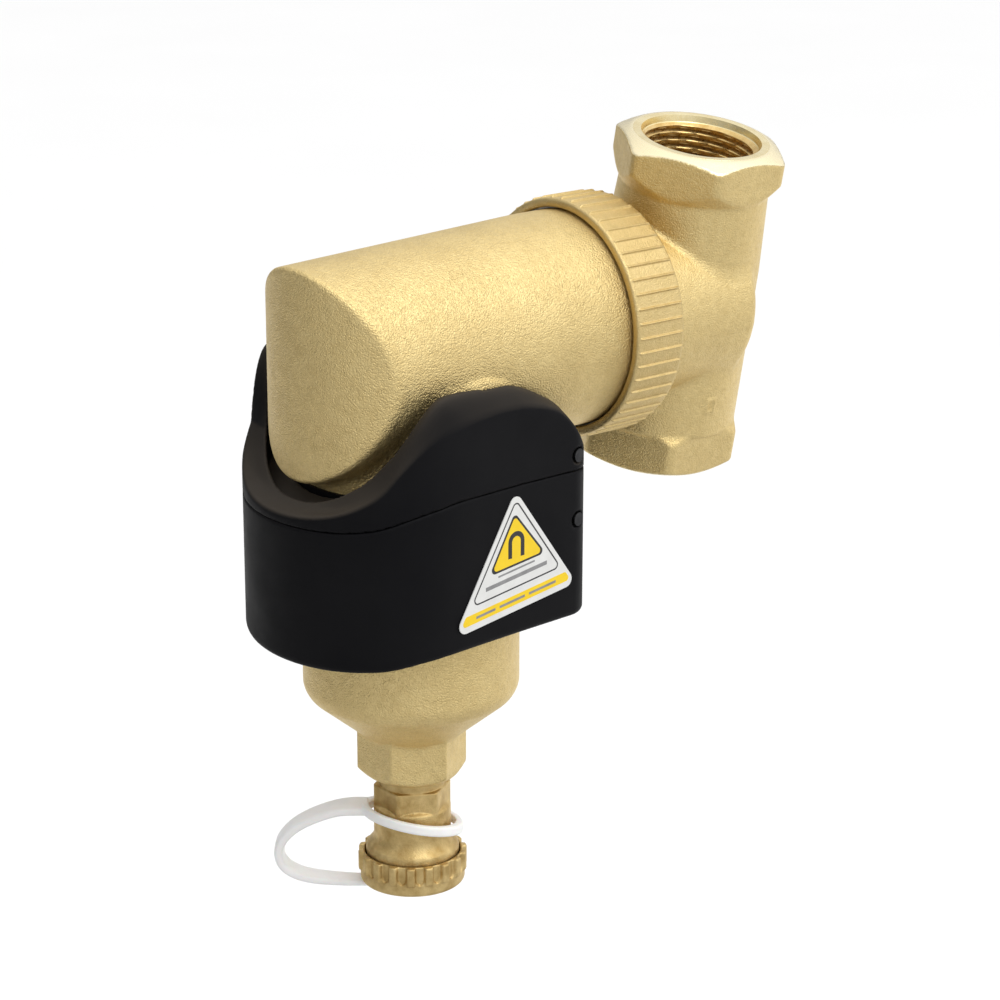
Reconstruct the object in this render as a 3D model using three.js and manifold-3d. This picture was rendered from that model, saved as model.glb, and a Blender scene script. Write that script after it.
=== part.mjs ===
// Magnetic system filter: a brass dirt chamber that hangs from a pipe tee through a union,
// with a black magnet sleeve that slides down the chamber and a capped drain valve below.
//
// Frame: millimetres, +Z up. The origin is the centre of the pipe tee, where the run of the
// pipe crosses the axis of the union arm. The arm leaves the tee along -Y and the chamber
// hangs from its far end along -Z. The run of the tee leans towards +X by RUN_LEAN.
import * as THREE from 'three';
import { mergeVertices } from 'three/addons/utils/BufferGeometryUtils.js';
import Module from 'manifold-3d';

const wasm = await Module();
wasm.setup();

// Driving dimensions
const ARM_LENGTH = 97.2; // pipe axis to chamber axis
const RUN_LEAN = THREE.MathUtils.degToRad(11.6);
const GAP = 0.3; // clearance between neighbouring pieces
const ROUND = 40; // sides of a large round
const MEDIUM_ROUND = 32;
const SMALL_ROUND = 20;

const RUN_HALF = 48.4; // tee centre to port face
const UPPER_NECK_R = 21.4; // the neck grows stouter from the upper port to the lower one
const MIDDLE_NECK_R = 22.8;
const LOWER_NECK_R = 23.2;
const PORT_FLATS = 44.2;
const PORT_CORNER_R = 25;
const PORT_HEX_LENGTH = 13.8;
const PORT_REAR_LENGTH = 3.4; // sloping rear end of the hexagon's corners
const PORT_FACE_R = 20.2;
const PORT_CHAMFER = THREE.MathUtils.degToRad(27);
const PORT_MOUTH_R = 17.2;
const PORT_LEAD = 1.9; // plain mouth before the first thread
const THREAD_R = 16.6; // G1 female
const THREAD_MINOR_R = 15.15;
const THREAD_PITCH = 2.309;
const THREAD_TURNS = 5;
const THREAD_DEPTH = 18;
const RUN_BORE_R = 13.5;
const DRUM_R = 26.8;
const DRUM_REAR = 9;
const DRUM_EDGE = 4.5;
const SPIGOT_R = 31.2;
const SPIGOT_FRONT = -39.2;
const SPIGOT_ROOT = -29.5;
const DRUM_CAVITY_R = 21.5;

const NUT_FRONT = -44.6;
const NUT_REAR = -27.7;
const NUT_R = 33.6;
const NUT_THREAD_R = 31.6;
const NUT_LIP_R = 31.0;
const NUT_LIP_DEPTH = 1.7;
const NUT_RIBS = 52;
const NUT_RIB_HEIGHT = 0.6;

const ARM_R_AT_CHAMBER = 28.55;
const ARM_TAPER = 0.0425; // growth of the radius for each millimetre towards the tee
const ARM_TAIL_R = 30.4; // the plain end that the union nut slides on
const ARM_TAIL_Y = 43.5;
const CLIP_GROOVE_R = 29.3;
const ARM_END = ARM_LENGTH + SPIGOT_FRONT - GAP;
const HEAD_FACE_R = 36;
const HEAD_FACE_Y = -2.4;
const CHIN_R = 27.4;
const CHIN_DROP = 3;
const CHAMBER_R = 30;
const CHAMBER_BORE_R = 26.6;
const SHOULDER_Z = -95.4;
const CONE_FOOT_Z = -108.4;
const BOSS_FLATS = 26.8;
const BOSS_BOTTOM_Z = -123;
const BOSS_CHAMFER = 2.6;
const BOSS_FACE_R = 11;
const BOSS_BORE_R = 8.2;
const ARM_BORE_R = 24;

const TUBE_R = 12.6;
const TUBE_WALL = 1.5;
const SPOUT_R = 15;
const CORE_STEM_R = 2.6;
const CORE_FLANGE_R = 9;
const CORE_LOW = -92.8;
const CORE_HIGH = -20;
const COIL_R = 12;
const BOOSTER_R = 2.5;
const BOOSTER_CIRCLE_R = 19;
const BOOSTER_ANGLES = [45, 135, 225, 315];

const VALVE_FLATS = 19.2;
const COLLAR_TOP_Z = -125.7;
const COLLAR_BOTTOM_Z = -131.2;
const COLLAR_NECK_R = 9.3;
const VALVE_NECK_R = 10.85;
const VALVE_FLARE_Z = -142.4;
const VALVE_THREAD_R = 13.05;
const VALVE_END_Z = -150.2;
const PLUG_TOP_Z = -112;
const OUTLET_R = 9;
const OUTLET_TOP_Z = -141.6;
const ORIFICE_R = 3.2;
const SPINDLE_R = 4.8;
const SEAT_Z = -113.4;
const CAP_TOP_Z = -145.8;
const CAP_BAND_Z = -151.4;
const CAP_BOTTOM_Z = -154.7;
const CAP_FLOOR_Z = -152.4;
const CAP_BAND_R = 14.6;
const CAP_LOBE_R = 15.3;
const CAP_VALLEY_R = 14.35;
const CAP_LOBES = 18;
const LOBE_RISE = [0, 0.8, 1, 0.8]; // from valley to crest over one lobe
const CAP_BORE_R = 13.6;

const RIVET_R = 2;
const RIVET_HEAD_R = 4.8;
const STRAP_DIRECTION = THREE.MathUtils.degToRad(-129.7); // the side on which the strap stands out
const NECK_RING_R = 14.4;
const NECK_RING_BORE_R = 12.3;
const NECK_RING_HEIGHT = 2.5;
const NECK_RING_Z = -136.2;
const NECK_RING_SLOPES = [0.211, 0.15]; // fall away from the strap, rise at its right hand
const CAP_RING_R = 7;
const CAP_RING_TOP_Z = -155;
const CAP_RING_HEIGHT = 1.5;

const SLEEVE_FRONT_R = 45.3;
const SLEEVE_REAR_Y = 37.3;
const SLEEVE_BORE_R = 30.45;
const LINER_R = 31.35;
const SHELL_WALL = 2.6;
const SHELL_FLOOR = 2.5;
const POCKET_R = 38.5;
const POCKET_HALF_WIDTH = 30.6;
const POCKET_FLOOR_LIFT = 1.8; // pocket floor above the seam
const RIM_BEVEL = 4.5;
const FAR_CHEEK_START = 22; // distance from the middle at which the far cheek begins to rise
const FAR_CHEEK_FULL = 33;
const REAR_CORNER = [27.2, 30.2];
const REAR_CORNER_R = 7.1;
const FLANK_START = [36.75, -13.5];
const FLANK_END = [34.05, 27];
const MAGNET_LOW = -71;
const MAGNET_HIGH = -45;
const MAGNET_INNER_R = 31.75;
const KEEPER_INNER_R = 38.3;
const KEEPER_OUTER_R = 39.8;
const SCREW_HEAD_R = 1.9;
const SCREW_SHANK_R = 1;
const SCREW_FACING = 12; // degrees from the side towards the rear
const COVER_SCREW_Z = -28.4;
const SHELL_SCREW_Z = -46.4;
const MAGNET_ANGLES = [-134, -106, -74, -46, 45, 135];

// Colours and finishes
const brass = { color: 0xc3ac74, roughness: 0.45, metalness: 0.8 };
const machinedBrass = { color: 0xd6bd7c, roughness: 0.25, metalness: 0.9 };
const roughBrass = { color: 0x9c8148, roughness: 0.5, metalness: 0.8 };
const blackPlastic = { color: 0x17181b, roughness: 0.55, metalness: 0 };
const whitePlastic = { color: 0xe6e6e4, roughness: 0.45, metalness: 0 };
const steel = { color: 0xb4b6b8, roughness: 0.3, metalness: 0.9 };
const magnetCoat = { color: 0x8a8c90, roughness: 0.3, metalness: 0.9 };
const rubber = { color: 0x1a1a1a, roughness: 0.8, metalness: 0 };
const copper = { color: 0xb0713f, roughness: 0.4, metalness: 0.9 };
const labelFilm = { color: 0xf2f2f0, roughness: 0.4, metalness: 0 };

// Turns a closed three.js geometry into a solid with its faces pointing out.
function solid(geometry) {
  const bare = geometry.index ? geometry.toNonIndexed() : geometry.clone();
  bare.deleteAttribute('normal');
  bare.deleteAttribute('uv');
  const merged = mergeVertices(bare, 1e-4);
  const p = merged.attributes.position.array;
  const raw = merged.index.array;
  const faces = [];
  let volume = 0;
  for (let i = 0; i < raw.length; i += 3) {
    const [a, b, c] = [raw[i], raw[i + 1], raw[i + 2]];
    if (a === b || b === c || c === a) continue;
    faces.push([a, b, c]);
    const [u, v, w] = [a, b, c].map((k) => new THREE.Vector3().fromArray(p, 3 * k));
    volume += u.dot(v.cross(w));
  }
  const triVerts = Uint32Array.from(faces.flatMap(([a, b, c]) => (volume < 0 ? [a, c, b] : [a, b, c])));
  return new wasm.Manifold(new wasm.Mesh({ numProp: 3, vertProperties: Float32Array.from(p), triVerts }));
}

function geometryOf(manifold) {
  const mesh = manifold.getMesh();
  const geometry = new THREE.BufferGeometry();
  geometry.setAttribute('position', new THREE.BufferAttribute(Float32Array.from(mesh.vertProperties), 3));
  geometry.setIndex(new THREE.BufferAttribute(Uint32Array.from(mesh.triVerts), 1));
  return geometry;
}

function cut(first, ...others) {
  return others.reduce((result, other) => result.subtract(other), first);
}

function join(first, ...others) {
  return others.reduce((result, other) => result.add(other), first);
}

// A round body about Z from [radius, z] points that start and end on the axis or close on themselves.
function turned(points, sides = ROUND) {
  const profile = points.map(([r, z]) => new THREE.Vector2(r, z));
  return solid(new THREE.LatheGeometry(profile, sides).rotateX(Math.PI / 2));
}

// A ring about Z between two radii and two heights.
function ring(innerR, outerR, low, high, sides = ROUND) {
  return turned([[innerR, low], [outerR, low], [outerR, high], [innerR, high], [innerR, low]], sides);
}

function rod(radius, low, high, sides = ROUND) {
  return turned([[0, low], [radius, low], [radius, high], [0, high]], sides);
}

// The same bodies about the Y axis: a height along Z becomes a place along Y.
function alongY(manifold) {
  return solid(geometryOf(manifold).rotateX(-Math.PI / 2));
}

// The same body turned upside down about X.
function turnedOver(manifold) {
  return solid(geometryOf(manifold).rotateX(Math.PI));
}

function moved(manifold, x, y, z) {
  return solid(geometryOf(manifold).translate(x, y, z));
}

function block(low, high) {
  const size = low.map((value, i) => high[i] - value);
  const centre = low.map((value, i) => (high[i] + value) / 2);
  return solid(new THREE.BoxGeometry(...size).translate(...centre));
}

function hexRod(flats, low, high, firstCorner = 0) {
  const shape = new THREE.Shape();
  for (let i = 0; i < 6; i += 1) {
    const angle = firstCorner + (i * Math.PI) / 3;
    const radius = flats / Math.sqrt(3);
    shape[i ? 'lineTo' : 'moveTo'](radius * Math.cos(angle), radius * Math.sin(angle));
  }
  return extruded(shape, low, high);
}

function extruded(shape, low, high) {
  const prism = new THREE.ExtrudeGeometry(shape, { depth: high - low, bevelEnabled: false });
  return solid(prism.translate(0, 0, low));
}

function outlineShape(points) {
  return new THREE.Shape(points.map(([x, y]) => new THREE.Vector2(x, y)));
}

// Everything under a side profile of [y, z] points, as a slab across the whole width.
function below(profile, lift = 0) {
  const edge = profile.map(([y, z]) => [y, z + lift]);
  const outline = [...edge, [profile.at(-1)[0], -120], [profile[0][0], -120]];
  const halfWidth = 60;
  const options = { depth: 2 * halfWidth, bevelEnabled: false };
  const slab = new THREE.ExtrudeGeometry(outlineShape(outline), options);
  slab.translate(0, 0, -halfWidth);
  slab.applyMatrix4(new THREE.Matrix4().makeBasis(
    new THREE.Vector3(0, 1, 0), new THREE.Vector3(0, 0, 1), new THREE.Vector3(1, 0, 0)));
  return solid(slab);
}

// Height of a side profile at one place along Y.
function heightAt(profile, y) {
  const i = Math.min(Math.max(profile.findIndex(([end]) => end >= y), 1), profile.length - 1);
  const [[y0, z0], [y1, z1]] = [profile[i - 1], profile[i]];
  return z0 + ((z1 - z0) * (y - y0)) / (y1 - y0);
}

// A solid through stacked rings whose plan mirrors in X. Each ring is its right half, front to
// rear, as [x, y, z, zLeft] points; the end rings are closed by strips across the middle plane.
function lofted(rings) {
  const half = rings[0].length;
  const count = 2 * half - 2;
  const vertices = rings.flatMap((ringPoints) => {
    const right = ringPoints.map(([x, y, z]) => [x, y, z]);
    const left = ringPoints.slice(1, -1).reverse().map(([x, y, , zLeft]) => [-x, y, zLeft]);
    return [...right, ...left];
  });
  const faces = [];
  for (let k = 0; k + 1 < rings.length; k += 1) {
    for (let i = 0; i < count; i += 1) {
      const [a, b] = [k * count + i, k * count + ((i + 1) % count)];
      faces.push([a, b, b + count], [a, b + count, a + count]);
    }
  }
  const cap = (base, flip) => {
    const mirror = (i) => (i === 0 || i === half - 1 ? i : count - i);
    for (let i = 0; i + 1 < half; i += 1) {
      const quad = [i, i + 1, mirror(i + 1), mirror(i)];
      const triangles = [[quad[0], quad[1], quad[2]], [quad[0], quad[2], quad[3]]];
      triangles.filter((t) => new Set(t).size === 3).forEach((t) => {
        const placed = t.map((v) => base + v);
        faces.push(flip ? placed.reverse() : placed);
      });
    }
  };
  cap(0, true);
  cap((rings.length - 1) * count, false);
  const geometry = new THREE.BufferGeometry();
  geometry.setAttribute('position', new THREE.Float32BufferAttribute(vertices.flat(), 3));
  geometry.setIndex(faces.flat());
  return solid(geometry);
}

// Moves every corner of a closed outline inwards by the same distance.
function inset(points, distance) {
  return points.map((point, i) => {
    const before = points[(i + points.length - 1) % points.length];
    const after = points[(i + 1) % points.length];
    const along = new THREE.Vector2(after[0] - before[0], after[1] - before[1]).normalize();
    return [point[0] - distance * along.y, point[1] + distance * along.x];
  });
}

const assembly = new THREE.Group();
const teeGroup = new THREE.Group();
teeGroup.rotation.y = RUN_LEAN;
const armGroup = new THREE.Group(); // origin where the chamber axis crosses the arm axis
armGroup.position.set(0, -ARM_LENGTH, 0);
assembly.add(teeGroup, armGroup);

function addNode(name, manifold, finish, parent = armGroup) {
  const mesh = new THREE.Mesh(geometryOf(manifold), new THREE.MeshStandardMaterial(finish));
  mesh.name = name;
  parent.add(mesh);
  return mesh;
}

// --- Tee -------------------------------------------------------------------------------------

// One port: a chamfered hexagon whose corners lie towards the arm and away from it.
function portHex() {
  const chamfer = (PORT_CORNER_R - PORT_FACE_R) * Math.tan(PORT_CHAMFER);
  const low = RUN_HALF - PORT_HEX_LENGTH;
  const envelope = turned([[0, low], [UPPER_NECK_R, low], [PORT_CORNER_R, low + PORT_REAR_LENGTH],
    [PORT_CORNER_R, RUN_HALF - chamfer], [PORT_FACE_R, RUN_HALF], [0, RUN_HALF]]);
  return hexRod(PORT_FLATS, low, RUN_HALF, Math.PI / 6).intersect(envelope);
}

// The room inside a port: a chamfered mouth and ring-shaped thread turns.
function threadedSocket() {
  const mouth = RUN_HALF - PORT_LEAD;
  const firstCrest = mouth - 0.8;
  const points = [[0, RUN_HALF - THREAD_DEPTH], [THREAD_MINOR_R, RUN_HALF - THREAD_DEPTH]];
  for (let i = THREAD_TURNS; i > 0; i -= 1) {
    const crest = firstCrest - i * THREAD_PITCH;
    points.push([THREAD_MINOR_R, crest], [THREAD_R, crest + THREAD_PITCH / 2]);
  }
  points.push([THREAD_MINOR_R, firstCrest], [PORT_MOUTH_R - 0.5, mouth], [PORT_MOUTH_R, RUN_HALF],
    [PORT_MOUTH_R, RUN_HALF + 1], [0, RUN_HALF + 1]);
  return turned(points, MEDIUM_ROUND);
}

function drumBody() {
  const edge = DRUM_REAR - DRUM_EDGE;
  return alongY(turned([[0, SPIGOT_FRONT], [SPIGOT_R - 1, SPIGOT_FRONT], [SPIGOT_R, SPIGOT_FRONT + 1],
    [SPIGOT_R, SPIGOT_ROOT - 1.5], [DRUM_R, SPIGOT_ROOT + 0.6], [DRUM_R, edge], [DRUM_R - 1.6, edge + 2.8],
    [DRUM_R - DRUM_EDGE, DRUM_REAR], [0, DRUM_REAR]]));
}

function buildTee() {
  const neckEnd = RUN_HALF - PORT_HEX_LENGTH + 1;
  const run = turned([[0, -neckEnd], [LOWER_NECK_R, -neckEnd], [MIDDLE_NECK_R, 0], [UPPER_NECK_R, neckEnd],
    [0, neckEnd]]);
  const castMark = block([20, -3.6, -27.9], [LOWER_NECK_R + 0.3, 0.6, -22.7]);
  const outside = join(run, portHex(), turnedOver(portHex()), drumBody(), castMark);
  const bore = rod(RUN_BORE_R, -RUN_HALF - 1, RUN_HALF + 1, SMALL_ROUND);
  const sockets = [threadedSocket(), turnedOver(threadedSocket())];
  const cavity = alongY(rod(DRUM_CAVITY_R, SPIGOT_FRONT - 1, -2, MEDIUM_ROUND));
  return cut(outside, bore, ...sockets, cavity);
}

// A plate across the tee with a nozzle ring: it sends the flow out to the chamber and back.
function buildDivider() {
  const nozzle = alongY(ring(11.5, 13.2, -33, -14.6, SMALL_ROUND));
  const plate = rod(RUN_BORE_R - 2 * GAP, -1.2, 1.2, SMALL_ROUND);
  const neck = block([-RUN_BORE_R + 1.5, -16, -1.2], [RUN_BORE_R - 1.5, -5, 1.2]);
  const flange = alongY(ring(9, DRUM_CAVITY_R - GAP, -16.5, -14.5, MEDIUM_ROUND));
  return join(plate, neck, flange, nozzle);
}

addNode('tee_body', buildTee(), brass, teeGroup);
addNode('flow_divider', buildDivider(), machinedBrass, teeGroup);

// --- Union -----------------------------------------------------------------------------------

function armRadius(y) {
  return ARM_R_AT_CHAMBER + ARM_TAPER * y;
}

function inArm(y) {
  return y + ARM_LENGTH;
}

const CLIP_Y = inArm(-41.6);
const SLIP_Y = inArm(-42.9);

// A ring with fine ribs along its rim and a lip that bears on the slip washer.
function buildNut() {
  const [front, rear] = [inArm(NUT_FRONT), inArm(NUT_REAR)];
  const grip = new THREE.Shape();
  for (let i = 0; i < NUT_RIBS; i += 1) {
    [[0, NUT_R], [0.8, NUT_R], [0.9, NUT_R + NUT_RIB_HEIGHT]].forEach(([share, radius]) => {
      const angle = (2 * Math.PI * (i + share)) / NUT_RIBS;
      grip[i || share ? 'lineTo' : 'moveTo'](radius * Math.cos(angle), radius * Math.sin(angle));
    });
  }
  const outside = extruded(grip, front, rear);
  const lipRear = front + NUT_LIP_DEPTH;
  const room = turned([[0, front - 1], [NUT_LIP_R + 1, front - 1], [NUT_LIP_R + 1, front],
    [NUT_LIP_R, front + 1], [NUT_LIP_R, lipRear], [NUT_THREAD_R, lipRear], [NUT_THREAD_R, rear + 1],
    [0, rear + 1]]);
  return alongY(cut(outside, room));
}

addNode('union_ring_nut', buildNut(), brass);
const slipWasher = ring(30.75, NUT_THREAD_R - 0.2, SLIP_Y + 0.25, SLIP_Y + 1.05, MEDIUM_ROUND);
const retainingClip = ring(CLIP_GROOVE_R + GAP, NUT_THREAD_R - 0.25, CLIP_Y + 0.1, CLIP_Y + 1.3,
  MEDIUM_ROUND);
const oRing = ring(26.2, 28.2, ARM_END - 1.5, ARM_END - 0.1, MEDIUM_ROUND);
addNode('nut_slip_washer', alongY(slipWasher), steel);
addNode('arm_retaining_clip', alongY(retainingClip), steel);
addNode('union_o_ring', alongY(oRing), rubber);

// --- Housing ---------------------------------------------------------------------------------

function armOutside() {
  const start = -42;
  const arm = alongY(turned([[0, start], [armRadius(start), start], [ARM_TAIL_R, ARM_TAIL_Y],
    [ARM_TAIL_R, CLIP_Y], [CLIP_GROOVE_R, CLIP_Y], [CLIP_GROOVE_R, CLIP_Y + 1.4],
    [ARM_TAIL_R, CLIP_Y + 1.4], [ARM_TAIL_R, ARM_END], [0, ARM_END]]));
  const chin = moved(alongY(rod(CHIN_R, start, 0)), 0, 0, -CHIN_DROP);
  const faceDrum = moved(rod(HEAD_FACE_R, -34, 34), 0, HEAD_FACE_Y, 0);
  const behindFace = block([-40, HEAD_FACE_Y, -40], [40, ARM_END + 1, 40]);
  return join(arm, chin).intersect(join(faceDrum, behindFace));
}

function chamberOutside() {
  return turned([[0, CONE_FOOT_Z - 2], [14, CONE_FOOT_Z - 2], [15.6, CONE_FOOT_Z], [27.2, -98.9],
    [28.8, -97.6], [29.7, -96.6], [CHAMBER_R, SHOULDER_Z], [CHAMBER_R, -9], [28.2, -3.5], [0, -3.5]]);
}

function bossOutside() {
  const corner = BOSS_FLATS / Math.sqrt(3);
  const envelope = turned([[0, BOSS_BOTTOM_Z], [BOSS_FACE_R, BOSS_BOTTOM_Z],
    [corner, BOSS_BOTTOM_Z + BOSS_CHAMFER], [corner, CONE_FOOT_Z + 1], [0, CONE_FOOT_Z + 1]]);
  return hexRod(BOSS_FLATS, BOSS_BOTTOM_Z, CONE_FOOT_Z + 1).intersect(envelope);
}

function buildHousing() {
  const outside = join(armOutside(), chamberOutside(), bossOutside());
  const chamberBore = turned([[0, -104], [BOSS_BORE_R, -104], [CHAMBER_BORE_R - 3, -97],
    [CHAMBER_BORE_R, -93], [CHAMBER_BORE_R, 6], [0, 18]]);
  const armBore = alongY(rod(ARM_BORE_R, 0, ARM_END + 1, MEDIUM_ROUND));
  const boreMouth = rod(BOSS_BORE_R, BOSS_BOTTOM_Z - 1, -103, SMALL_ROUND);
  const sealSeat = alongY(ring(25.8, 28.6, ARM_END - 1.7, ARM_END + 1, MEDIUM_ROUND));
  return cut(outside, chamberBore, armBore, boreMouth, sealSeat);
}

addNode('housing_body', buildHousing(), brass);

// --- Inside the chamber ----------------------------------------------------------------------

// The tube carries the flow from the tee's nozzle down into the chamber and ends in a collar
// over the separator core.
function buildFlowTube() {
  const end = inArm(SPIGOT_FRONT) + 5;
  const outer = alongY(rod(TUBE_R, 4, end, SMALL_ROUND));
  const spout = rod(SPOUT_R, -16, 8, SMALL_ROUND);
  const inner = alongY(rod(TUBE_R - TUBE_WALL, 4, end + 1, SMALL_ROUND));
  const spoutBore = rod(SPOUT_R - TUBE_WALL, -17, 6.5, SMALL_ROUND);
  return cut(join(outer, spout), inner, spoutBore);
}

addNode('flow_tube', buildFlowTube(), blackPlastic);

const separatorCore = join(rod(CORE_STEM_R, CORE_LOW + 1, CORE_HIGH, 16),
  rod(CORE_FLANGE_R, CORE_LOW, CORE_LOW + 2.8, SMALL_ROUND),
  rod(CORE_FLANGE_R, CORE_HIGH - 2, CORE_HIGH, SMALL_ROUND));
const separatorCoil = ring(CORE_STEM_R + 0.4, COIL_R, CORE_LOW + 3.2, CORE_HIGH - 2.4, SMALL_ROUND);
addNode('separator_core', separatorCore, copper);
addNode('separator_coil', separatorCoil, copper);
BOOSTER_ANGLES.forEach((degrees, i) => {
  const [x, y] = onArc(0, 0, BOOSTER_CIRCLE_R, degrees);
  addNode(`field_booster_rod_${i + 1}`, moved(rod(BOOSTER_R, -90, -26, 12), x, y, 0), steel);
});

// --- Drain valve -----------------------------------------------------------------------------

function buildValveBody() {
  const shoulder = BOSS_BOTTOM_Z - 0.15;
  const collar = hexRod(VALVE_FLATS, COLLAR_BOTTOM_Z, COLLAR_TOP_Z);
  const collarNeck = rod(COLLAR_NECK_R, COLLAR_TOP_Z - 1, shoulder, MEDIUM_ROUND);
  const stem = turned([[0, VALVE_END_Z], [VALVE_THREAD_R - 0.8, VALVE_END_Z],
    [VALVE_THREAD_R, VALVE_END_Z + 0.8], [VALVE_THREAD_R, VALVE_FLARE_Z - 1.6],
    [VALVE_NECK_R, VALVE_FLARE_Z], [VALVE_NECK_R, COLLAR_BOTTOM_Z + 1], [0, COLLAR_BOTTOM_Z + 1]]);
  const plug = rod(BOSS_BORE_R - GAP, shoulder - 1, PLUG_TOP_Z, SMALL_ROUND);
  const outlet = rod(OUTLET_R, VALVE_END_Z - 1, OUTLET_TOP_Z, SMALL_ROUND);
  const bore = rod(SPINDLE_R + GAP, VALVE_END_Z, SEAT_Z, SMALL_ROUND);
  const orifice = rod(ORIFICE_R, SEAT_Z - 1, PLUG_TOP_Z + 1, SMALL_ROUND);
  return cut(join(collar, collarNeck, stem, plug), outlet, bore, orifice);
}

addNode('drain_valve_body', buildValveBody(), roughBrass);
addNode('valve_seat_seal', ring(1.6, 4.6, -115.6, -113.6, SMALL_ROUND), rubber);
const spindle = join(rod(SPINDLE_R, -139, -115.9, SMALL_ROUND), hexRod(6, -144.5, -138.5));
addNode('valve_spindle', spindle, machinedBrass);

function buildCap() {
  const skirt = turned([[0, CAP_BOTTOM_Z], [CAP_BAND_R - 1.4, CAP_BOTTOM_Z],
    [CAP_BAND_R, CAP_BOTTOM_Z + 1.4], [CAP_BAND_R, CAP_TOP_Z], [0, CAP_TOP_Z]]);
  const lobes = new THREE.Shape();
  const steps = CAP_LOBES * LOBE_RISE.length;
  for (let i = 0; i < steps; i += 1) {
    const angle = (2 * Math.PI * i) / steps;
    const radius = CAP_VALLEY_R + (CAP_LOBE_R - CAP_VALLEY_R) * LOBE_RISE[i % 4];
    lobes[i ? 'lineTo' : 'moveTo'](radius * Math.cos(angle), radius * Math.sin(angle));
  }
  const bore = rod(CAP_BORE_R, CAP_FLOOR_Z, CAP_TOP_Z + 1, MEDIUM_ROUND);
  const rivetHole = rod(RIVET_R + 0.4, CAP_BOTTOM_Z - 1, CAP_BOTTOM_Z + 1.6, 16);
  return cut(join(skirt, extruded(lobes, CAP_BAND_Z, CAP_TOP_Z)), bore, rivetHole);
}

addNode('drain_cap', buildCap(), roughBrass);
const gasket = ring(4, CAP_BORE_R - 0.4, CAP_FLOOR_Z + 0.1, VALVE_END_Z - 0.15, SMALL_ROUND);
addNode('cap_gasket', gasket, rubber);
const rivetTop = CAP_BOTTOM_Z + 1.3;
const rivet = turned([[0, -158.2], [RIVET_HEAD_R - 1.2, -158.2], [RIVET_HEAD_R, -157.4],
  [RIVET_HEAD_R, -156.8], [RIVET_R, -156.8], [RIVET_R, rivetTop], [0, rivetTop]], 16);
addNode('strap_rivet', rivet, whitePlastic);

// --- Strap: a ring on the valve neck, a loop that stands out to one side and a ring under the cap

const strapGroup = new THREE.Group();
strapGroup.rotation.z = STRAP_DIRECTION;
armGroup.add(strapGroup);

const [halfHeight, capRingFoot] = [NECK_RING_HEIGHT / 2, CAP_RING_TOP_Z - CAP_RING_HEIGHT];
const neckBand = ring(NECK_RING_BORE_R, NECK_RING_R, -halfHeight, halfHeight, MEDIUM_ROUND);
const capBand = ring(RIVET_R + 0.4, CAP_RING_R, capRingFoot, CAP_RING_TOP_Z, SMALL_ROUND);
const neckRing = addNode('strap_neck_ring', neckBand, whitePlastic, strapGroup);
neckRing.position.z = NECK_RING_Z;
neckRing.quaternion.setFromUnitVectors(new THREE.Vector3(0, 0, 1),
  new THREE.Vector3(-NECK_RING_SLOPES[0], -NECK_RING_SLOPES[1], 1).normalize());
addNode('strap_cap_ring', capBand, whitePlastic, strapGroup);

// The loop's centre line in its own upright plane: distance from the chamber axis, then height.
const LOOP_POINTS = [[15.2, -133.1], [21.5, -133.9], [28, -136.2], [33.4, -139.4], [36.9, -143.4],
  [37.7, -147.4], [36.4, -150.8], [33.2, -153.2], [28.4, -154.7], [21, -155.5], [14, -155.75],
  [7.6, -155.75]];
const LOOP_STEPS = 30;
const LOOP_WIDTH = 6.4;
const LOOP_THICKNESS = 2;

function buildLoop() {
  const path = new THREE.CatmullRomCurve3(LOOP_POINTS.map(([u, z]) => new THREE.Vector3(u, z, 0)));
  const [a, b] = [LOOP_WIDTH / 2, LOOP_THICKNESS / 2];
  const section = outlineShape([[-a, -b], [a, -b], [a, b], [-a, b]]);
  const options = { steps: LOOP_STEPS, extrudePath: path, bevelEnabled: false };
  const band = new THREE.ExtrudeGeometry(section, options);
  return solid(band.rotateX(Math.PI / 2));
}

addNode('strap_loop', buildLoop(), whitePlastic, strapGroup);

// --- Magnet sleeve ---------------------------------------------------------------------------

// Side profiles [y, z]: the outer and the inner edge of the bevelled rim, the seam between the
// two shells, and the bottom edge.
const RIM_OUTER = [[-46, -37.2], [-42, -35.5], [-36.6, -31.4], [-32.5, -27.5], [-29, -22.3], [-23.5, -17.5],
  [-18.8, -14.6], [-12.6, -13.2], [-5.6, -11.6], [2.4, -10.8], [10.4, -10.9], [18.5, -12.4], [24.3, -14.4],
  [29, -18.5], [34, -25], [38, -30]];
const RIM_INNER = [[-44, -37], [-38.4, -34.6], [-35.4, -30.8], [-31.9, -26.9], [-29, -22], [-25.8, -16.8],
  [-21.5, -10.6], [-18, -6.7], [-14.9, -4.6], [-7, -4.4], [1, -4.8], [9, -5.5], [15.3, -7.6], [21, -10.6],
  [25.3, -12.9], [31, -19], [36, -26]];
// The far cheek of the rim stands taller than the near one.
const FAR_RIM = [[-46, -37.2], [-33, -32.6], [-30.2, -29.5], [-29, -22], [-27.2, -12.5], [-25.4, -7.4],
  [-23.2, -3.4], [-21, -2.4], [-12, -2.2], [6, -3], [14, -5.6], [20, -9.8], [26, -14], [38, -28]];
const SEAM = [[-47, -39.6], [-40, -39.2], [-34, -37.4], [-26, -34.6], [-12, -32.2], [10, -32], [40, -32.6]];
const BOTTOM = [[-47, -78.4], [-40, -78], [-33, -76.8], [-24, -75.2], [-12, -74.4], [10, -74.2], [40, -74.2]];

function onArc(centreX, centreY, radius, degrees) {
  const angle = THREE.MathUtils.degToRad(degrees);
  return [centreX + radius * Math.cos(angle), centreY + radius * Math.sin(angle)];
}

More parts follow.
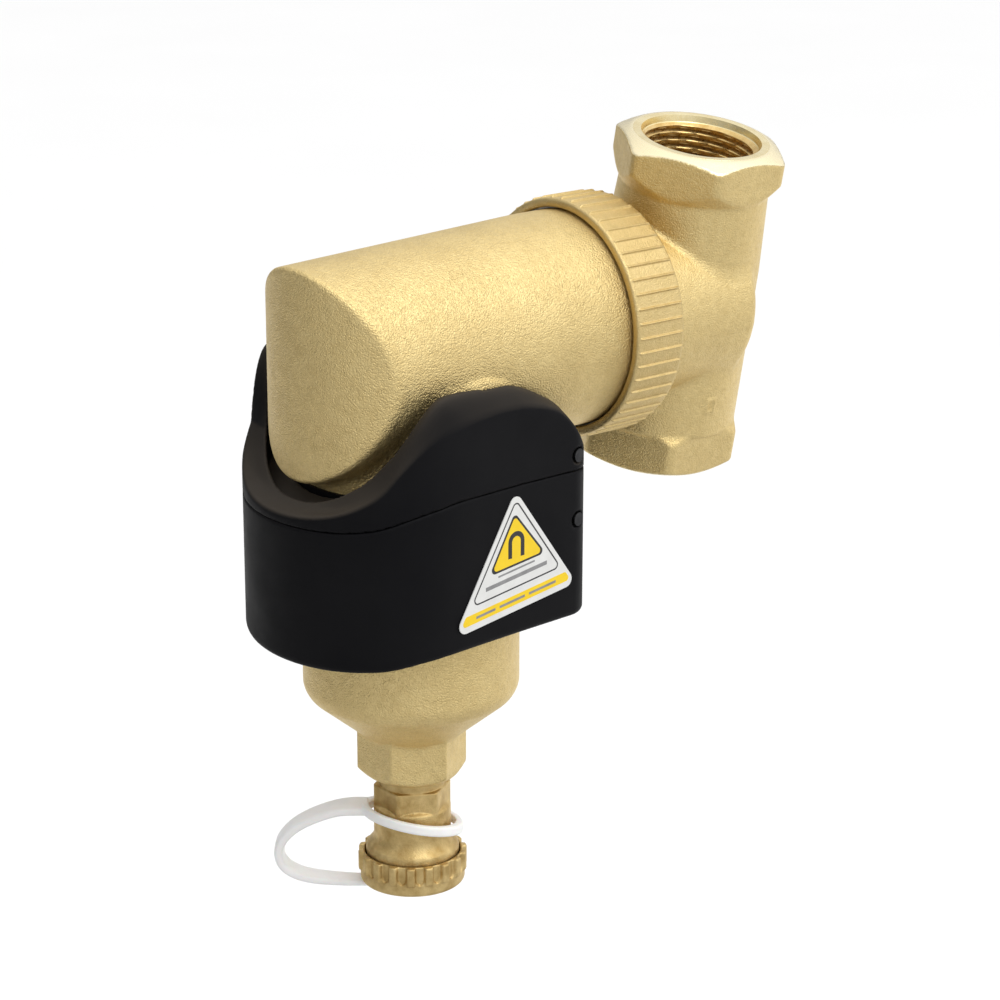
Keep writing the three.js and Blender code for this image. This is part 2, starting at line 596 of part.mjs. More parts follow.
// Right half of the plan outline, front to rear: a round front lobe about the chamber axis, a
// flat flank that carries the label and a rounded rear corner.
function sleeveHalf() {
  const lobeAngles = [-90, -83, -76, -69, -62, -55, -48, -42];
  const front = lobeAngles.map((degrees) => onArc(0, 0, SLEEVE_FRONT_R, degrees));
  const flank = [[35.9, -24.5], [36.7, -19], FLANK_START, FLANK_END];
  const rear = [8, 30, 55, 80].map((degrees) => onArc(...REAR_CORNER, REAR_CORNER_R, degrees));
  return [...front, ...flank, ...rear, [0, SLEEVE_REAR_Y]];
}

const halfOutline = sleeveHalf();

function insetHalf(distance) {
  const right = halfOutline;
  const full = [...right, ...right.slice(1, -1).reverse().map(([x, y]) => [-x, y])];
  return inset(full, distance).slice(0, right.length);
}

// One ring of the sleeve: the outline moved inwards and set to the height of a side profile,
// which may be another one on the left.
function sleeveRing(distance, heightOf, leftHeightOf = heightOf) {
  return insetHalf(distance).map(([x, y]) => [x, y, heightOf(y), leftHeightOf(y, x)]);
}

const linerRoom = rod(LINER_R + 0.2, -90, 1);

function screwAt(site, body) {
  const turn = new THREE.Matrix4().makeRotationY(Math.PI / 2);
  const face = new THREE.Matrix4().makeRotationZ(THREE.MathUtils.degToRad(SCREW_FACING));
  const [x, y] = onArc(...REAR_CORNER, REAR_CORNER_R, SCREW_FACING);
  const placed = geometryOf(body).applyMatrix4(turn).applyMatrix4(face).translate(x, y, site.z);
  return solid(site.side > 0 ? placed : placed.scale(-1, 1, 1));
}

const SCREW_SITES = {
  cover_screw_right: { side: 1, z: COVER_SCREW_Z },
  cover_screw_left: { side: -1, z: COVER_SCREW_Z },
  shell_screw_right: { side: 1, z: SHELL_SCREW_Z },
  shell_screw_left: { side: -1, z: SHELL_SCREW_Z },
};
const screwRoom = join(rod(SCREW_HEAD_R + 0.4, -1.9, 3, 16), rod(SCREW_SHANK_R + GAP, -5.4, -1, 12));

function roomsAt(height) {
  const sites = Object.values(SCREW_SITES).filter((site) => site.z === height);
  return sites.map((site) => screwAt(site, screwRoom));
}

function buildUpperCover() {
  const bevel = (share) => (y) => heightAt(RIM_OUTER, y) * (1 - share) + heightAt(RIM_INNER, y) * share;
  const farBevel = (share) => (y, x) => {
    const cheek = THREE.MathUtils.smoothstep(x, FAR_CHEEK_START, FAR_CHEEK_FULL);
    const lift = Math.max(heightAt(FAR_RIM, y) + 2.2 * share - bevel(share)(y), 0);
    return bevel(share)(y) + lift * cheek;
  };
  const rimRing = (share, height) => sleeveRing(RIM_BEVEL * share, bevel(height), farBevel(height));
  const body = lofted([sleeveRing(0, () => -60), rimRing(0, 0), rimRing(0.4, 0.62), rimRing(1, 1)]);
  const armRoom = alongY(turned([[0, -48], [armRadius(-48) + 0.8, -48], [armRadius(46) + 0.8, 46],
    [0, 46]]));
  const pocket = rod(POCKET_R, -60, 1).subtract(below(SEAM, POCKET_FLOOR_LIFT)).intersect(
    block([-POCKET_HALF_WIDTH, -60, -60], [POCKET_HALF_WIDTH, 0, 1]));
  return cut(body.subtract(below(SEAM)), armRoom, pocket, linerRoom, ...roomsAt(COVER_SCREW_Z));
}

function buildLowerShell() {
  const bottom = (lift) => (y) => heightAt(BOTTOM, y) + lift;
  const seam = (y) => heightAt(SEAM, y) - GAP;
  const body = lofted([sleeveRing(1.8, bottom(0)), sleeveRing(0.5, bottom(0.6)), sleeveRing(0, bottom(1.9)),
    sleeveRing(0, seam)]);
  const hollow = lofted([sleeveRing(SHELL_WALL, bottom(SHELL_FLOOR)), sleeveRing(SHELL_WALL, () => -20)]);
  const post = rod(3.4, -7, -1.5, 16);
  const sites = Object.values(SCREW_SITES).filter((site) => site.z === SHELL_SCREW_Z);
  const posts = sites.map((site) => screwAt(site, post));
  return cut(join(cut(body, hollow), ...posts), linerRoom, ...roomsAt(SHELL_SCREW_Z));
}

// A wedge of a ring that spans a range of angles.
function arcBlock(innerR, outerR, low, high, middle, halfSpan) {
  const shape = new THREE.Shape();
  const from = THREE.MathUtils.degToRad(middle - halfSpan);
  const to = THREE.MathUtils.degToRad(middle + halfSpan);
  shape.absarc(0, 0, outerR, from, to, false);
  shape.absarc(0, 0, innerR, to, from, true);
  return solid(new THREE.ExtrudeGeometry(shape, { depth: high - low, bevelEnabled: false, curveSegments: 6 })
    .translate(0, 0, low));
}

addNode('sleeve_upper_cover', buildUpperCover(), blackPlastic);
addNode('sleeve_lower_shell', buildLowerShell(), blackPlastic);
addNode('sleeve_liner', ring(SLEEVE_BORE_R, LINER_R, -74, -33.5), blackPlastic);
MAGNET_ANGLES.forEach((angle, i) => {
  const [depth, halfSpan] = angle < 0 ? [6, 12] : [5, 9];
  const magnet = arcBlock(MAGNET_INNER_R, MAGNET_INNER_R + depth, MAGNET_LOW, MAGNET_HIGH, angle, halfSpan);
  addNode(`magnet_${i + 1}`, magnet, magnetCoat);
});
const keeper = arcBlock(KEEPER_INNER_R, KEEPER_OUTER_R, MAGNET_LOW, MAGNET_HIGH, -90, 46);
addNode('keeper_plate', keeper, steel);

const screw = join(rod(SCREW_HEAD_R, -1.6, -0.4, 16), rod(SCREW_SHANK_R, -5, -1.5, 12));
Object.entries(SCREW_SITES).forEach(([name, site]) => addNode(name, screwAt(site, screw), steel));

// The label: a thin triangle on the flat flank, given by its own [y, z] corners.
function buildLabel() {
  const corners = [[7.7, -35.6], [-11.7, -68], [27.4, -63.2]];
  const [dx, dy] = [FLANK_END[0] - FLANK_START[0], FLANK_END[1] - FLANK_START[1]];
  const outward = new THREE.Vector3(dy, -dx, 0).normalize();
  const flankX = (y) => FLANK_START[0] + (dx * (y - FLANK_START[1])) / dy;
  const onFlank = ([y, z]) => new THREE.Vector3(flankX(y), y, z);
  const face = (lift) => corners.map((corner) => onFlank(corner).addScaledVector(outward, lift));
  const points = [...face(0.05), ...face(0.3)];
  const geometry = new THREE.BufferGeometry().setFromPoints(points);
  geometry.setIndex([0, 1, 2, 3, 5, 4, 0, 3, 4, 0, 4, 1, 1, 4, 5, 1, 5, 2, 2, 5, 3, 2, 3, 0]);
  return solid(geometry);
}

addNode('sleeve_label', buildLabel(), labelFilm);

export default assembly;
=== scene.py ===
# Looks of the magnetic system filter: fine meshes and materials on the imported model.
# Sizes below are millimetres unless a name ends in _M; Blender objects are metres.
import math

import bmesh
import bpy
import numpy as np
from mathutils import Matrix, Vector


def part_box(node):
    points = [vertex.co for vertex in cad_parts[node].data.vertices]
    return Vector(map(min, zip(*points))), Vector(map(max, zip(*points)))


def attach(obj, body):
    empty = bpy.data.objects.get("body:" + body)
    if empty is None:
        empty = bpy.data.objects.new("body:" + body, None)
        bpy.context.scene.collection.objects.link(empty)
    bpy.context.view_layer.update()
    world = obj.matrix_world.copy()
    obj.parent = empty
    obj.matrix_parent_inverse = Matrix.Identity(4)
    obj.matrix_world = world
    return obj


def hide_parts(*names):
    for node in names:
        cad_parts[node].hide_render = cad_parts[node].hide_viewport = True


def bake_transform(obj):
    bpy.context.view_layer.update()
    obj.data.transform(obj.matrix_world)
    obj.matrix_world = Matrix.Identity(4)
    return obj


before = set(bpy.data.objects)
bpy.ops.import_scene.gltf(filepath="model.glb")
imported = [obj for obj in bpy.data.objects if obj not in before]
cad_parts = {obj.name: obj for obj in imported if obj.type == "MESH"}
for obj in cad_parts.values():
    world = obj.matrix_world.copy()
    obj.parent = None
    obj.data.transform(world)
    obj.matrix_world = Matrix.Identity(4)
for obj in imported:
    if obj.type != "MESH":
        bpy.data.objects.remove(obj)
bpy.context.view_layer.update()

MM = 0.001
RUN_LEAN = math.radians(11.6)
ARM_LENGTH = -0.5 * (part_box("separator_core")[0].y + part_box("separator_core")[1].y) / MM
ARM_ORIGIN = (0.0, -ARM_LENGTH, 0.0)

# Camera
VIEW_AZIMUTH = math.radians(50.258)
VIEW_ELEVATION = math.radians(17.376)
VIEW_ROLL = math.radians(0.116)
VIEW_DISTANCE_M = 0.8003
VIEW_TARGET_M = (0.0, -0.0653, -0.0492)
LENS = 103.0

# Light
ROOM_LIGHT_FROM = (0.35, 0.3, 0.88)
ROOM_DIM = 0.26
ROOM_BRIGHT = 1.36
KEY_PLACE_M = (1.0, 0.1, 1.5)
KEY_SIZE_M = 1.0
KEY_POWER = 9
FLOOR_Z = -360.0
CARD_HALF_THICK = 5

# Tee
RUN_HALF = 48.4
NECK_WIDTHS = [(-34.6, 23.2), (-12, 22.9), (0, 22.8), (12, 22.6), (34.6, 21.4)]
PORT_FLATS = 44.2
PORT_CORNER_R = 25.0
PORT_HEX_LOW = 34.6
PORT_REAR_SLOPE = math.radians(36)
PORT_FACE_R = 20.2
PORT_CHAMFER = math.radians(27)
PORT_ROOM_R = 18.3
THREAD_CREST_R = 15.15
THREAD_ROOT_R = 16.6
THREAD_PITCH = 2.309
THREAD_DEPTH = 17.5
THREAD_FLAT = 0.12
LEAD_R = 17.2
LEAD_DEPTH = 1.9
LEAD_SLOPES = (0.25, 1.6)
RUN_BORE_R = 13.5
DRUM_R = 26.8
DRUM_REAR = 9.0
DRUM_FRONT = -28.0
SPIGOT_R = 31.2
SPIGOT_FRONT = -39.2
SPIGOT_ROOT = -29.5
DRUM_CAVITY_R = 21.5
PARTING_RAISE = 0.07
MARK_CENTRE = (-1.5, -25.3)
MARK_HALF = (2.1, 2.6)
MARK_RAISE = 0.35

# Housing
ARM_R = 28.55
ARM_TAPER = 0.0425
ARM_END = ARM_LENGTH + SPIGOT_FRONT - 0.3
ARM_TAIL_R = 30.4
HEAD_FACE_R = 36.0
HEAD_FACE_Y = -2.4
CHIN_R = 27.4
CHIN_DROP = 3.0
CHAMBER_R = 30.0
CHAMBER_TOP = -4.5
CHAMBER_OUTLET_R = 8.4
ARM_BORE_R = 24.0
GATE_CENTRE = (3.6, -5.0)
GATE_HALF = (6.0, 1.7)
GATE_SLOPE = 0.12
GATE_RAISE = 0.5
CONE_HIGH = (27.2, -98.9)
CONE_LOW = (15.5, -108.5)
BOSS_FLATS = 26.8
BOSS_BOTTOM = -123.0
BOSS_FACE_R = 11.0

# Drain valve and cap
HEX_TURN = math.radians(30)
COLLAR_FLATS = 19.2
COLLAR_TOP = -125.7
COLLAR_BOTTOM = -131.2
COLLAR_NECK_R = 9.3
VALVE_NECK_R = 10.85
FLARE_TOP = -142.4
VALVE_THREAD_R = 13.1
VALVE_THREAD_PITCH = 1.814
VALVE_THREAD_START = -146.4
VALVE_BORE_R = 9.0
VALVE_BORE_TOP = -141.6
VALVE_END = -150.2
CAP_TOP = -145.8
CAP_BAND_TOP = -150.7
CAP_BOTTOM = -154.7
CAP_FLOOR = -152.4
CAP_BAND_R = 14.75
CAP_LOBE_R = 15.4
CAP_VALLEY_R = 14.1
CAP_LOBES = 18
CAP_BORE_R = 13.6

# Union nut
NUT_FRONT = -44.6
NUT_REAR = -27.7
NUT_R = 33.55
NUT_RIB_HEIGHT = 0.55
NUT_BORE_R = 31.6
NUT_LIP_R = 31.0
NUT_RIBS = 52

# Strap
STRAP_DIRECTION = math.radians(-129.7)
NECK_RING_BORE_R = 12.1
NECK_RING_R = 14.4
NECK_RING_Z = -136.2
NECK_RING_SLOPES = (0.211, 0.15)
CAP_RING_R = 7.0
CAP_RING_TOP = -155.0
RIVET_HOLE_R = 2.4
# The loop by [distance out, height], then its sizes at shares of its length.
LOOP_POINTS = [(12.6, -133.3), (16.5, -133.3), (21.5, -133.9), (28, -136.2), (33.4, -139.4), (36.9, -143.4),
               (37.7, -147.4), (36.4, -150.8), (33.2, -153.2), (28.4, -154.7), (21, -155.5), (14, -155.75),
               (5.5, -155.75)]
LOOP_SHARES = (0, 0.05, 0.12, 0.4, 0.7, 0.9, 1)
LOOP_HALF_WIDTHS = (4.4, 4.5, 4.1, 3.8, 3.3, 3.0, 3.6)
LOOP_HALF_DEPTHS = (1.55, 1.55, 1.5, 1.4, 1.25, 0.95, 0.75)

# Magnet sleeve
LOBE_R = 45.3
REAR_Y = 37.3
REAR_CORNER_R = 7.1
FLANK_START = (36.75, -13.5)
FLANK_END = (34.05, 27.0)
SHELL_WALL = 2.6
SHELL_FLOOR = 2.5
SLEEVE_ROOM_R = 31.55
POCKET_R = 38.5
POCKET_HALF_WIDTH = 30.6
RIM_BEVEL = 4.6
SEAM_GAP = 0.25
# Edges of the sleeve seen from the side, as [y, z] from the chamber's axis and the arm's.
RIM_OUTER = [(-46, -37.2), (-42, -35.5), (-36.6, -31.4), (-32.5, -27.5), (-29, -22.3), (-23.5, -17.5),
             (-18.8, -14.6), (-12.6, -13.2), (-5.6, -11.6), (2.4, -10.8), (10.4, -10.9), (18.5, -12.4),
             (24.3, -14.4), (29, -18.5), (34, -25), (38, -30)]
RIM_INNER = [(-44, -37), (-38.4, -34.6), (-35.4, -30.8), (-31.9, -26.9), (-29, -22), (-25.8, -16.8),
             (-21.5, -10.6), (-18, -6.7), (-14.9, -4.6), (-7, -4.4), (1, -4.8), (9, -5.5), (15.3, -7.6),
             (21, -10.6), (25.3, -12.9), (31, -19), (36, -26)]
FAR_RIM = [(-46, -38), (-33, -33), (-30.2, -29.5), (-29.4, -26), (-28.4, -19), (-27.2, -12.5), (-26, -8.6),
           (-24.6, -5.4), (-23.2, -3.4), (-21.5, -2.4), (-12, -2.2), (6, -3), (14, -5.6), (20, -9.8),
           (26, -14), (38, -28)]
SEAM = [(-47, -39.6), (-40, -39.2), (-34, -37.4), (-26, -34.6), (-12, -32.2), (10, -32), (40, -32.6)]
BOTTOM = [(-47, -78.4), (-40, -78), (-33, -76.8), (-24, -75.2), (-12, -74.4), (10, -74.2), (40, -74.2)]
# The label on the flank, also by [y, z]; drops and shares are parts of its height and width.
LABEL_CORNERS = [(7.7, -33.2), (-14.6, -69.4), (30.6, -64.2)]
SIGN_CORNERS = [(7.4, -40.2), (-0.9, -54.3), (17.6, -52.4)]
LABEL_CORNER_R = 2.2
SIGN_CORNER_R = 0.9
SIGN_BORDER = 0.6
ARCH_CENTRE = (7.9, -47.4)
ARCH_RADII = (1.6, 2.95)
ARCH_LEG = 4.3
# Each printed line's drop, its start and end across, and its half height.
LABEL_LINES = [(0.595, 0.14, 0.86, 0.25), (0.655, 0.2, 0.8, 0.25), (0.735, 0.05, 0.95, 0.55)]
BORDER_DROP = 0.845
BAND_DROPS = (0.885, 0.975)
BAND_MARKS = [(0.12, 0.3), (0.34, 0.58), (0.62, 0.88)]
BAND_MARK_HALF = 0.35
SCREW_FACING = math.radians(12)
SCREW_HEIGHTS = (-28.4, -46.4)


# --- Distance fields: negative inside, in millimetres ----------

def length(*parts):
    """The length of a vector with these parts."""
    return np.sqrt(sum(part * part for part in parts))


def union(a, b, fillet=0.0):
    """The join of two fields with a round fillet in the inner corner."""
    if fillet <= 0:
        return np.minimum(a, b)
    u = np.maximum(fillet - a, 0)
    v = np.maximum(fillet - b, 0)
    return np.maximum(fillet, np.minimum(a, b)) - length(u, v)


def common(a, b, edge=0.0):
    """The overlap of two fields with a round outer edge."""
    return -union(-a, -b, edge)


def minus(a, b, edge=0.0):
    return common(a, -b, edge)


def between(value, low, high):
    return np.maximum(low - value, value - high)


def hexagon(x, y, flats, first_flat=0.0):
    """Distance to a hexagon about the origin, with a flat's centre in the direction first_flat."""
    sides = [math.radians(60 * i) + first_flat for i in range(3)]
    reaches = [np.abs(x * math.cos(a) + y * math.sin(a)) for a in sides]
    return np.maximum(np.maximum(reaches[0], reaches[1]), reaches[2]) - flats / 2


def smooth_profile(points, spread=1.6):
    """A curve through [along, height] points, with its corners softened."""
    step, reach_steps, margin = 0.25, 24, 12
    along = np.arange(points[0][0] - margin, points[-1][0] + margin, step)
    start_slope = (points[1][1] - points[0][1]) / (points[1][0] - points[0][0])
    end_slope = (points[-1][1] - points[-2][1]) / (points[-1][0] - points[-2][0])
    heights = np.interp(along, *zip(*points))
    heights += np.minimum(along - points[0][0], 0) * start_slope
    heights += np.maximum(along - points[-1][0], 0) * end_slope
    reach = np.arange(-reach_steps, reach_steps + 1) * step
    weights = np.exp(-0.5 * (reach / spread) ** 2)
    padded = np.pad(heights, reach_steps, mode="edge")
    softened = np.convolve(padded, weights / weights.sum(), mode="valid")
    return lambda value: np.interp(value, along, softened)


# --- Meshes from distance fields ----------

CELL_CORNERS = [(i, j, k) for i in (0, 1) for j in (0, 1) for k in (0, 1)]
CELL_EDGES = [(a, b) for a in range(8) for b in range(a + 1, 8)
              if sum(abs(p - q) for p, q in zip(CELL_CORNERS[a], CELL_CORNERS[b])) == 1]


def cell_points(values, cells):
    """One point for each cell that the surface crosses: the mean of its edge crossings."""
    corner_values = np.stack([values[tuple((cells + corner).T)] for corner in CELL_CORNERS], axis=1)
    total = np.zeros((len(cells), 3))
    hits = np.zeros((len(cells), 1))
    for a, b in CELL_EDGES:
        va = corner_values[:, a:a + 1]
        vb = corner_values[:, b:b + 1]
        crossed = (va < 0) != (vb < 0)
        share = np.where(crossed, va / np.where(crossed, va - vb, 1), 0)
        place = np.array(CELL_CORNERS[a]) * (1 - share) + np.array(CELL_CORNERS[b]) * share
        total += np.where(crossed, place, 0)
        hits += crossed
    return cells + total / hits


def grid_quads(values, index):
    """A quad round each grid edge that the surface crosses, facing out."""
    inside = values < 0
    quads = []
    for axis in range(3):
        u, v = (axis + 1) % 3, (axis + 2) % 3
        lower = np.take(inside, range(inside.shape[axis] - 1), axis)
        upper = np.take(inside, range(1, inside.shape[axis]), axis)
        places = np.argwhere(lower != upper)
        leaving = lower[tuple(places.T)]
        corners = []
        for du, dv in ((1, 1), (0, 1), (0, 0), (1, 0)):
            cell = places.copy()
            cell[:, u] -= du
            cell[:, v] -= dv
            corners.append(index[tuple(cell.T)])
        quad = np.stack(corners, axis=1)
        quad[~leaving] = quad[~leaving][:, ::-1]
        quads.append(quad)
    return np.concatenate(quads)


def settled(points, distance, step):
    """Moves points onto the surface along the field's slope."""
    nudge = 0.02
    for _ in range(4):
        here = distance(*points.T)
        slope = np.stack([distance(*(points + side).T) - distance(*(points - side).T)
                          for side in nudge * np.eye(3)], axis=1) / (2 * nudge)
        steepness = np.maximum((slope ** 2).sum(axis=1), 0.05)
        shift = -slope * (here / steepness)[:, None]
        reach = np.sqrt((shift ** 2).sum(axis=1, keepdims=True))
        points = points + shift * np.minimum(1, 0.35 * step / np.maximum(reach, 1e-9))
    return points


def field_mesh(name, distance, low, high, step, place=None):
    """A closed mesh of the surface where a distance field is zero."""
    axes = [np.arange(a - 2 * step, b + 3 * step, step) for a, b in zip(low, high)]
    x, y, z = np.meshgrid(*axes, indexing="ij", sparse=True)
    values = np.broadcast_to(distance(x, y, z), [len(a) for a in axes]).astype(np.float64)
    inside = values < 0
    nx, ny, nz = [size - 1 for size in inside.shape]
    count = sum(inside[i:nx + i, j:ny + j, k:nz + k].astype(np.int8) for i, j, k in CELL_CORNERS)
    cells = np.argwhere((count > 0) & (count < 8))
    index = np.full(count.shape, -1)
    index[tuple(cells.T)] = np.arange(len(cells))
    start = np.array([a[0] for a in axes])
    points = settled(start + step * cell_points(values, cells), distance, step)
    faces = grid_quads(values, index)
    return mesh_object(name, points, faces, place)


def mesh_object(name, points, faces, place=None):
    """A smooth-shaded object from points in millimetres; place turns them into the row frame."""
    points = np.asarray(points, float)
    if place is not None:
        points = place(points)
    mesh = bpy.data.meshes.new(name)
    mesh.from_pydata((points * MM).tolist(), [], [list(map(int, face)) for face in faces])
    mesh.update()
    mesh.shade_smooth()
    piece = bpy.data.objects.new(name, mesh)
    bpy.context.scene.collection.objects.link(piece)
    return piece


def crisp(piece):
    """Keeps a piece's edges sharp where its faces meet at more than 30 degrees."""
    piece.data.set_sharp_from_angle(angle=math.radians(30))
    return piece


def at_arm(points):
    return points + np.array(ARM_ORIGIN)


def at_run(points):
    """From the tee's own frame, with its run along Z, to the leaning run."""
    c, s = math.cos(RUN_LEAN), math.sin(RUN_LEAN)
    x, y, z = points.T
    return np.stack([c * x + s * z, y, c * z - s * x], axis=1)


def face_outwards(piece):
    shape = bmesh.new()
    shape.from_mesh(piece.data)
    bmesh.ops.recalc_face_normals(shape, faces=shape.faces)
    if shape.calc_volume(signed=True) < 0:
        bmesh.ops.reverse_faces(shape, faces=shape.faces)
    shape.to_mesh(piece.data)
    shape.free()
    return piece


def around(sides):
    """Angles that divide a turn into equal parts."""
    return np.linspace(0, 2 * math.pi, sides, endpoint=False)


def turned_points(angles, loops):
    return np.array([(r * math.cos(a), r * math.sin(a), z)
                     for a, loop in zip(angles, loops) for r, z in loop])


def row_faces(rows, count, steps):
    """Quads between rows of count points each, for so many steps from one row to the next."""
    faces = []
    for i in range(steps):
        a, b = i * count, (i + 1) % rows * count
        faces += [(a + j, a + (j + 1) % count, b + (j + 1) % count, b + j) for j in range(count)]
    return faces


def cap_faces(rows, count):
    """The two ends of a run of rows."""
    last = (rows - 1) * count
    return [tuple(reversed(range(count))), tuple(range(last, last + count))]


def ring_mesh(name, angles, loops, place=None):
    """A closed ring about Z from one closed loop of [radius, height] points at each angle."""
    faces = row_faces(len(loops), len(loops[0]), len(loops))
    return face_outwards(mesh_object(name, turned_points(angles, loops), faces, place))


def solid_of_turn(name, profile, sides, place):
    """A closed solid about Z from [radius, height] points that start and end on the axis."""
    loop = profile[1:-1]
    count = len(loop)
    ends = [(0, 0, profile[0][1]), (0, 0, profile[-1][1])]
    points = np.vstack([turned_points(around(sides), [loop] * sides), ends])
    low, high = sides * count, sides * count + 1
    faces = []
    for i in range(sides):
        a, b = i * count, ((i + 1) % sides) * count
        faces += [(a + j, b + j, b + j + 1, a + j + 1) for j in range(count - 1)]
        faces += [(b, a, low), (a + count - 1, b + count - 1, high)]
    return face_outwards(mesh_object(name, points, faces, place))


# --- Distance fields of the pieces ----------

def arm_radius(y):
    """The arm's radius, which grows towards the union."""
    return ARM_R + ARM_TAPER * y


def tee_field(x, y, z):
    """The cast tee about its own run axis Z, with the drum along Y."""
    from_run = length(x, y)
    from_arm = length(x, z)
    height = np.abs(z)
    neck_r = np.interp(z, *zip(*NECK_WIDTHS))
    neck = common(from_run - neck_r, height - PORT_HEX_LOW - 1, 0.6)
    port = common(hexagon(x, y, PORT_FLATS), from_run - PORT_CORNER_R, 0.4)
    shoulder = ((from_run - neck_r) * math.cos(PORT_REAR_SLOPE)
                - (height - PORT_HEX_LOW) * math.sin(PORT_REAR_SLOPE))
    port = common(common(port, shoulder, 0.35), PORT_HEX_LOW - 0.4 - height, 0.3)
    cone = ((from_run - PORT_FACE_R) * math.sin(PORT_CHAMFER)
            + (height - RUN_HALF) * math.cos(PORT_CHAMFER))
    port = common(port, cone, 0.35)
    port = common(port, height - RUN_HALF, 0.25)
    drum = common(common(from_arm - DRUM_R, y - DRUM_REAR, 4.6), DRUM_FRONT - y)
    spigot_root = (from_arm - DRUM_R) * 0.45 + (y - SPIGOT_ROOT - 0.8) * 0.89
    spigot = common(from_arm - SPIGOT_R, common(SPIGOT_FRONT - y, spigot_root, 0.4), 0.8)
    body = union(neck, port, 0.35)
    body = union(body, drum, 1.3)
    body = union(body, spigot, 0.8)
    parting = PARTING_RAISE * np.exp(-((z - 0.3) / 0.7) ** 2)
    body = body - parting
    mark = np.maximum(np.abs(y - MARK_CENTRE[0]) - MARK_HALF[0], np.abs(z - MARK_CENTRE[1]) - MARK_HALF[1])
    body = body - MARK_RAISE * np.clip(1.2 - np.abs(mark + 0.7) / 0.6, 0, 1) * (x > 10)
    rooms = np.minimum(from_run - RUN_BORE_R, common(from_run - PORT_ROOM_R, 29 - height, 0.5))
    cavity = common(from_arm - DRUM_CAVITY_R, y + 3, 3)
    return minus(minus(body, rooms, 0.2), cavity, 0.3)


def housing_field(x, y, z):
    """The cast housing: arm along Y, chamber along Z."""
    from_arm = length(x, z)
    from_chamber = length(x, y)
    arm = common(from_arm - np.minimum(arm_radius(y), ARM_TAIL_R), y - ARM_END, 0.5)
    chin = common(length(x, z + CHIN_DROP) - CHIN_R, y)
    face = np.where(y < HEAD_FACE_Y, length(x, y - HEAD_FACE_Y), np.abs(x)) - HEAD_FACE_R
    head = common(union(arm, chin, 2.0), face, 1.3)
    slope = length(CONE_HIGH[0] - CONE_LOW[0], CONE_HIGH[1] - CONE_LOW[1])
    rise = ((CONE_HIGH[1] - CONE_LOW[1]) / slope, (CONE_HIGH[0] - CONE_LOW[0]) / slope)
    cone = (from_chamber - CONE_HIGH[0]) * rise[0] - (z - CONE_HIGH[1]) * rise[1]
    chamber = common(from_chamber - CHAMBER_R, cone, 2.2)
    chamber = common(chamber, z - CHAMBER_TOP, 5.0)
    boss = common(hexagon(x, y, BOSS_FLATS, HEX_TURN), z + 100, 0)
    chamfer = (from_chamber - BOSS_FACE_R) * 0.5 - (z - BOSS_BOTTOM) * 0.866
    boss = common(common(boss, chamfer, 0.5), BOSS_BOTTOM - z, 0.3)
    body = union(head, union(chamber, boss, 0.9), 3.0)
    gate_rise = z - GATE_CENTRE[1] + GATE_SLOPE * y
    gate = length((y - GATE_CENTRE[0]) / GATE_HALF[0], gate_rise / GATE_HALF[1]) - 1
    body = body - GATE_RAISE * np.clip(0.5 - gate * 2, 0, 1) * (x > 20)
    bore = common(from_arm - ARM_BORE_R, -y, 3)
    return minus(minus(body, bore, 0.3), from_chamber - CHAMBER_OUTLET_R + np.maximum(z + 112, 0))


def valve_field(x, y, z):
    from_axis = length(x, y)
    neck = common(from_axis - COLLAR_NECK_R, between(z, COLLAR_TOP - 1, BOSS_BOTTOM - 0.1))
    flats = hexagon(x, y, COLLAR_FLATS, HEX_TURN)
    flats = common(flats, between(z, COLLAR_BOTTOM - 1.5, COLLAR_TOP), 0.3)
    flats = common(flats, from_axis - VALVE_NECK_R, 0.2)
    ledge = (from_axis - COLLAR_FLATS / 2) * 0.6 + (z - COLLAR_BOTTOM) * 0.8
    barrel = common(common(from_axis - VALVE_NECK_R, ledge, 0.3), VALVE_END - z, 0.3)
    flare = (from_axis - VALVE_NECK_R) * 0.5 + (z - FLARE_TOP) * 0.866
    turns = 2 * math.pi * (z - VALVE_THREAD_START) / VALVE_THREAD_PITCH
    groove = np.where(z < CAP_TOP - 0.6, 0.55 - 0.55 * np.cos(turns), 0)
    tail = common(common(from_axis - VALVE_THREAD_R + groove, flare, 0.9), VALVE_END - z, 0.5)
    body = union(np.minimum(neck, flats), union(barrel, tail, 2.0))
    return minus(body, common(from_axis - VALVE_BORE_R, z - VALVE_BORE_TOP), 0.2)


def cap_field(x, y, z):
    from_axis = length(x, y)
    angle = np.arctan2(y, x) * CAP_LOBES
    wave = 0.5 + 0.5 * np.cos(angle)
    land = np.clip((wave - 0.28) / 0.5, 0, 1)
    rise = land * land * (3 - 2 * land)
    lobe_r = CAP_VALLEY_R + (CAP_LOBE_R - CAP_VALLEY_R) * rise
    lobes = common((from_axis - lobe_r) * 0.7, between(z, CAP_BAND_TOP - 0.6, CAP_TOP), 0.45)
    band_top = CAP_BAND_TOP - 0.4 + 2.6 * np.minimum(wave, 0.6)
    band = common(from_axis - CAP_BAND_R, CAP_BOTTOM - z, 1.1)
    band = common(band, (z - band_top) * 0.7, 0.25)
    core = common(from_axis - CAP_VALLEY_R, between(z, CAP_BOTTOM + 1, CAP_TOP), 0.2)
    body = union(union(band, lobes, 0.35), core, 0.2)
    body = minus(body, common(from_axis - CAP_BORE_R, CAP_FLOOR - z, 0.3), 0.25)
    return minus(body, common(from_axis - RIVET_HOLE_R, z - CAP_BOTTOM - 1.6), 0.1)


seam_height = smooth_profile(SEAM, 3.0)
bottom_height = smooth_profile(BOTTOM, 3.0)
rim_outer = smooth_profile(RIM_OUTER)
rim_inner = smooth_profile(RIM_INNER)
far_rim = smooth_profile(FAR_RIM, 0.9)


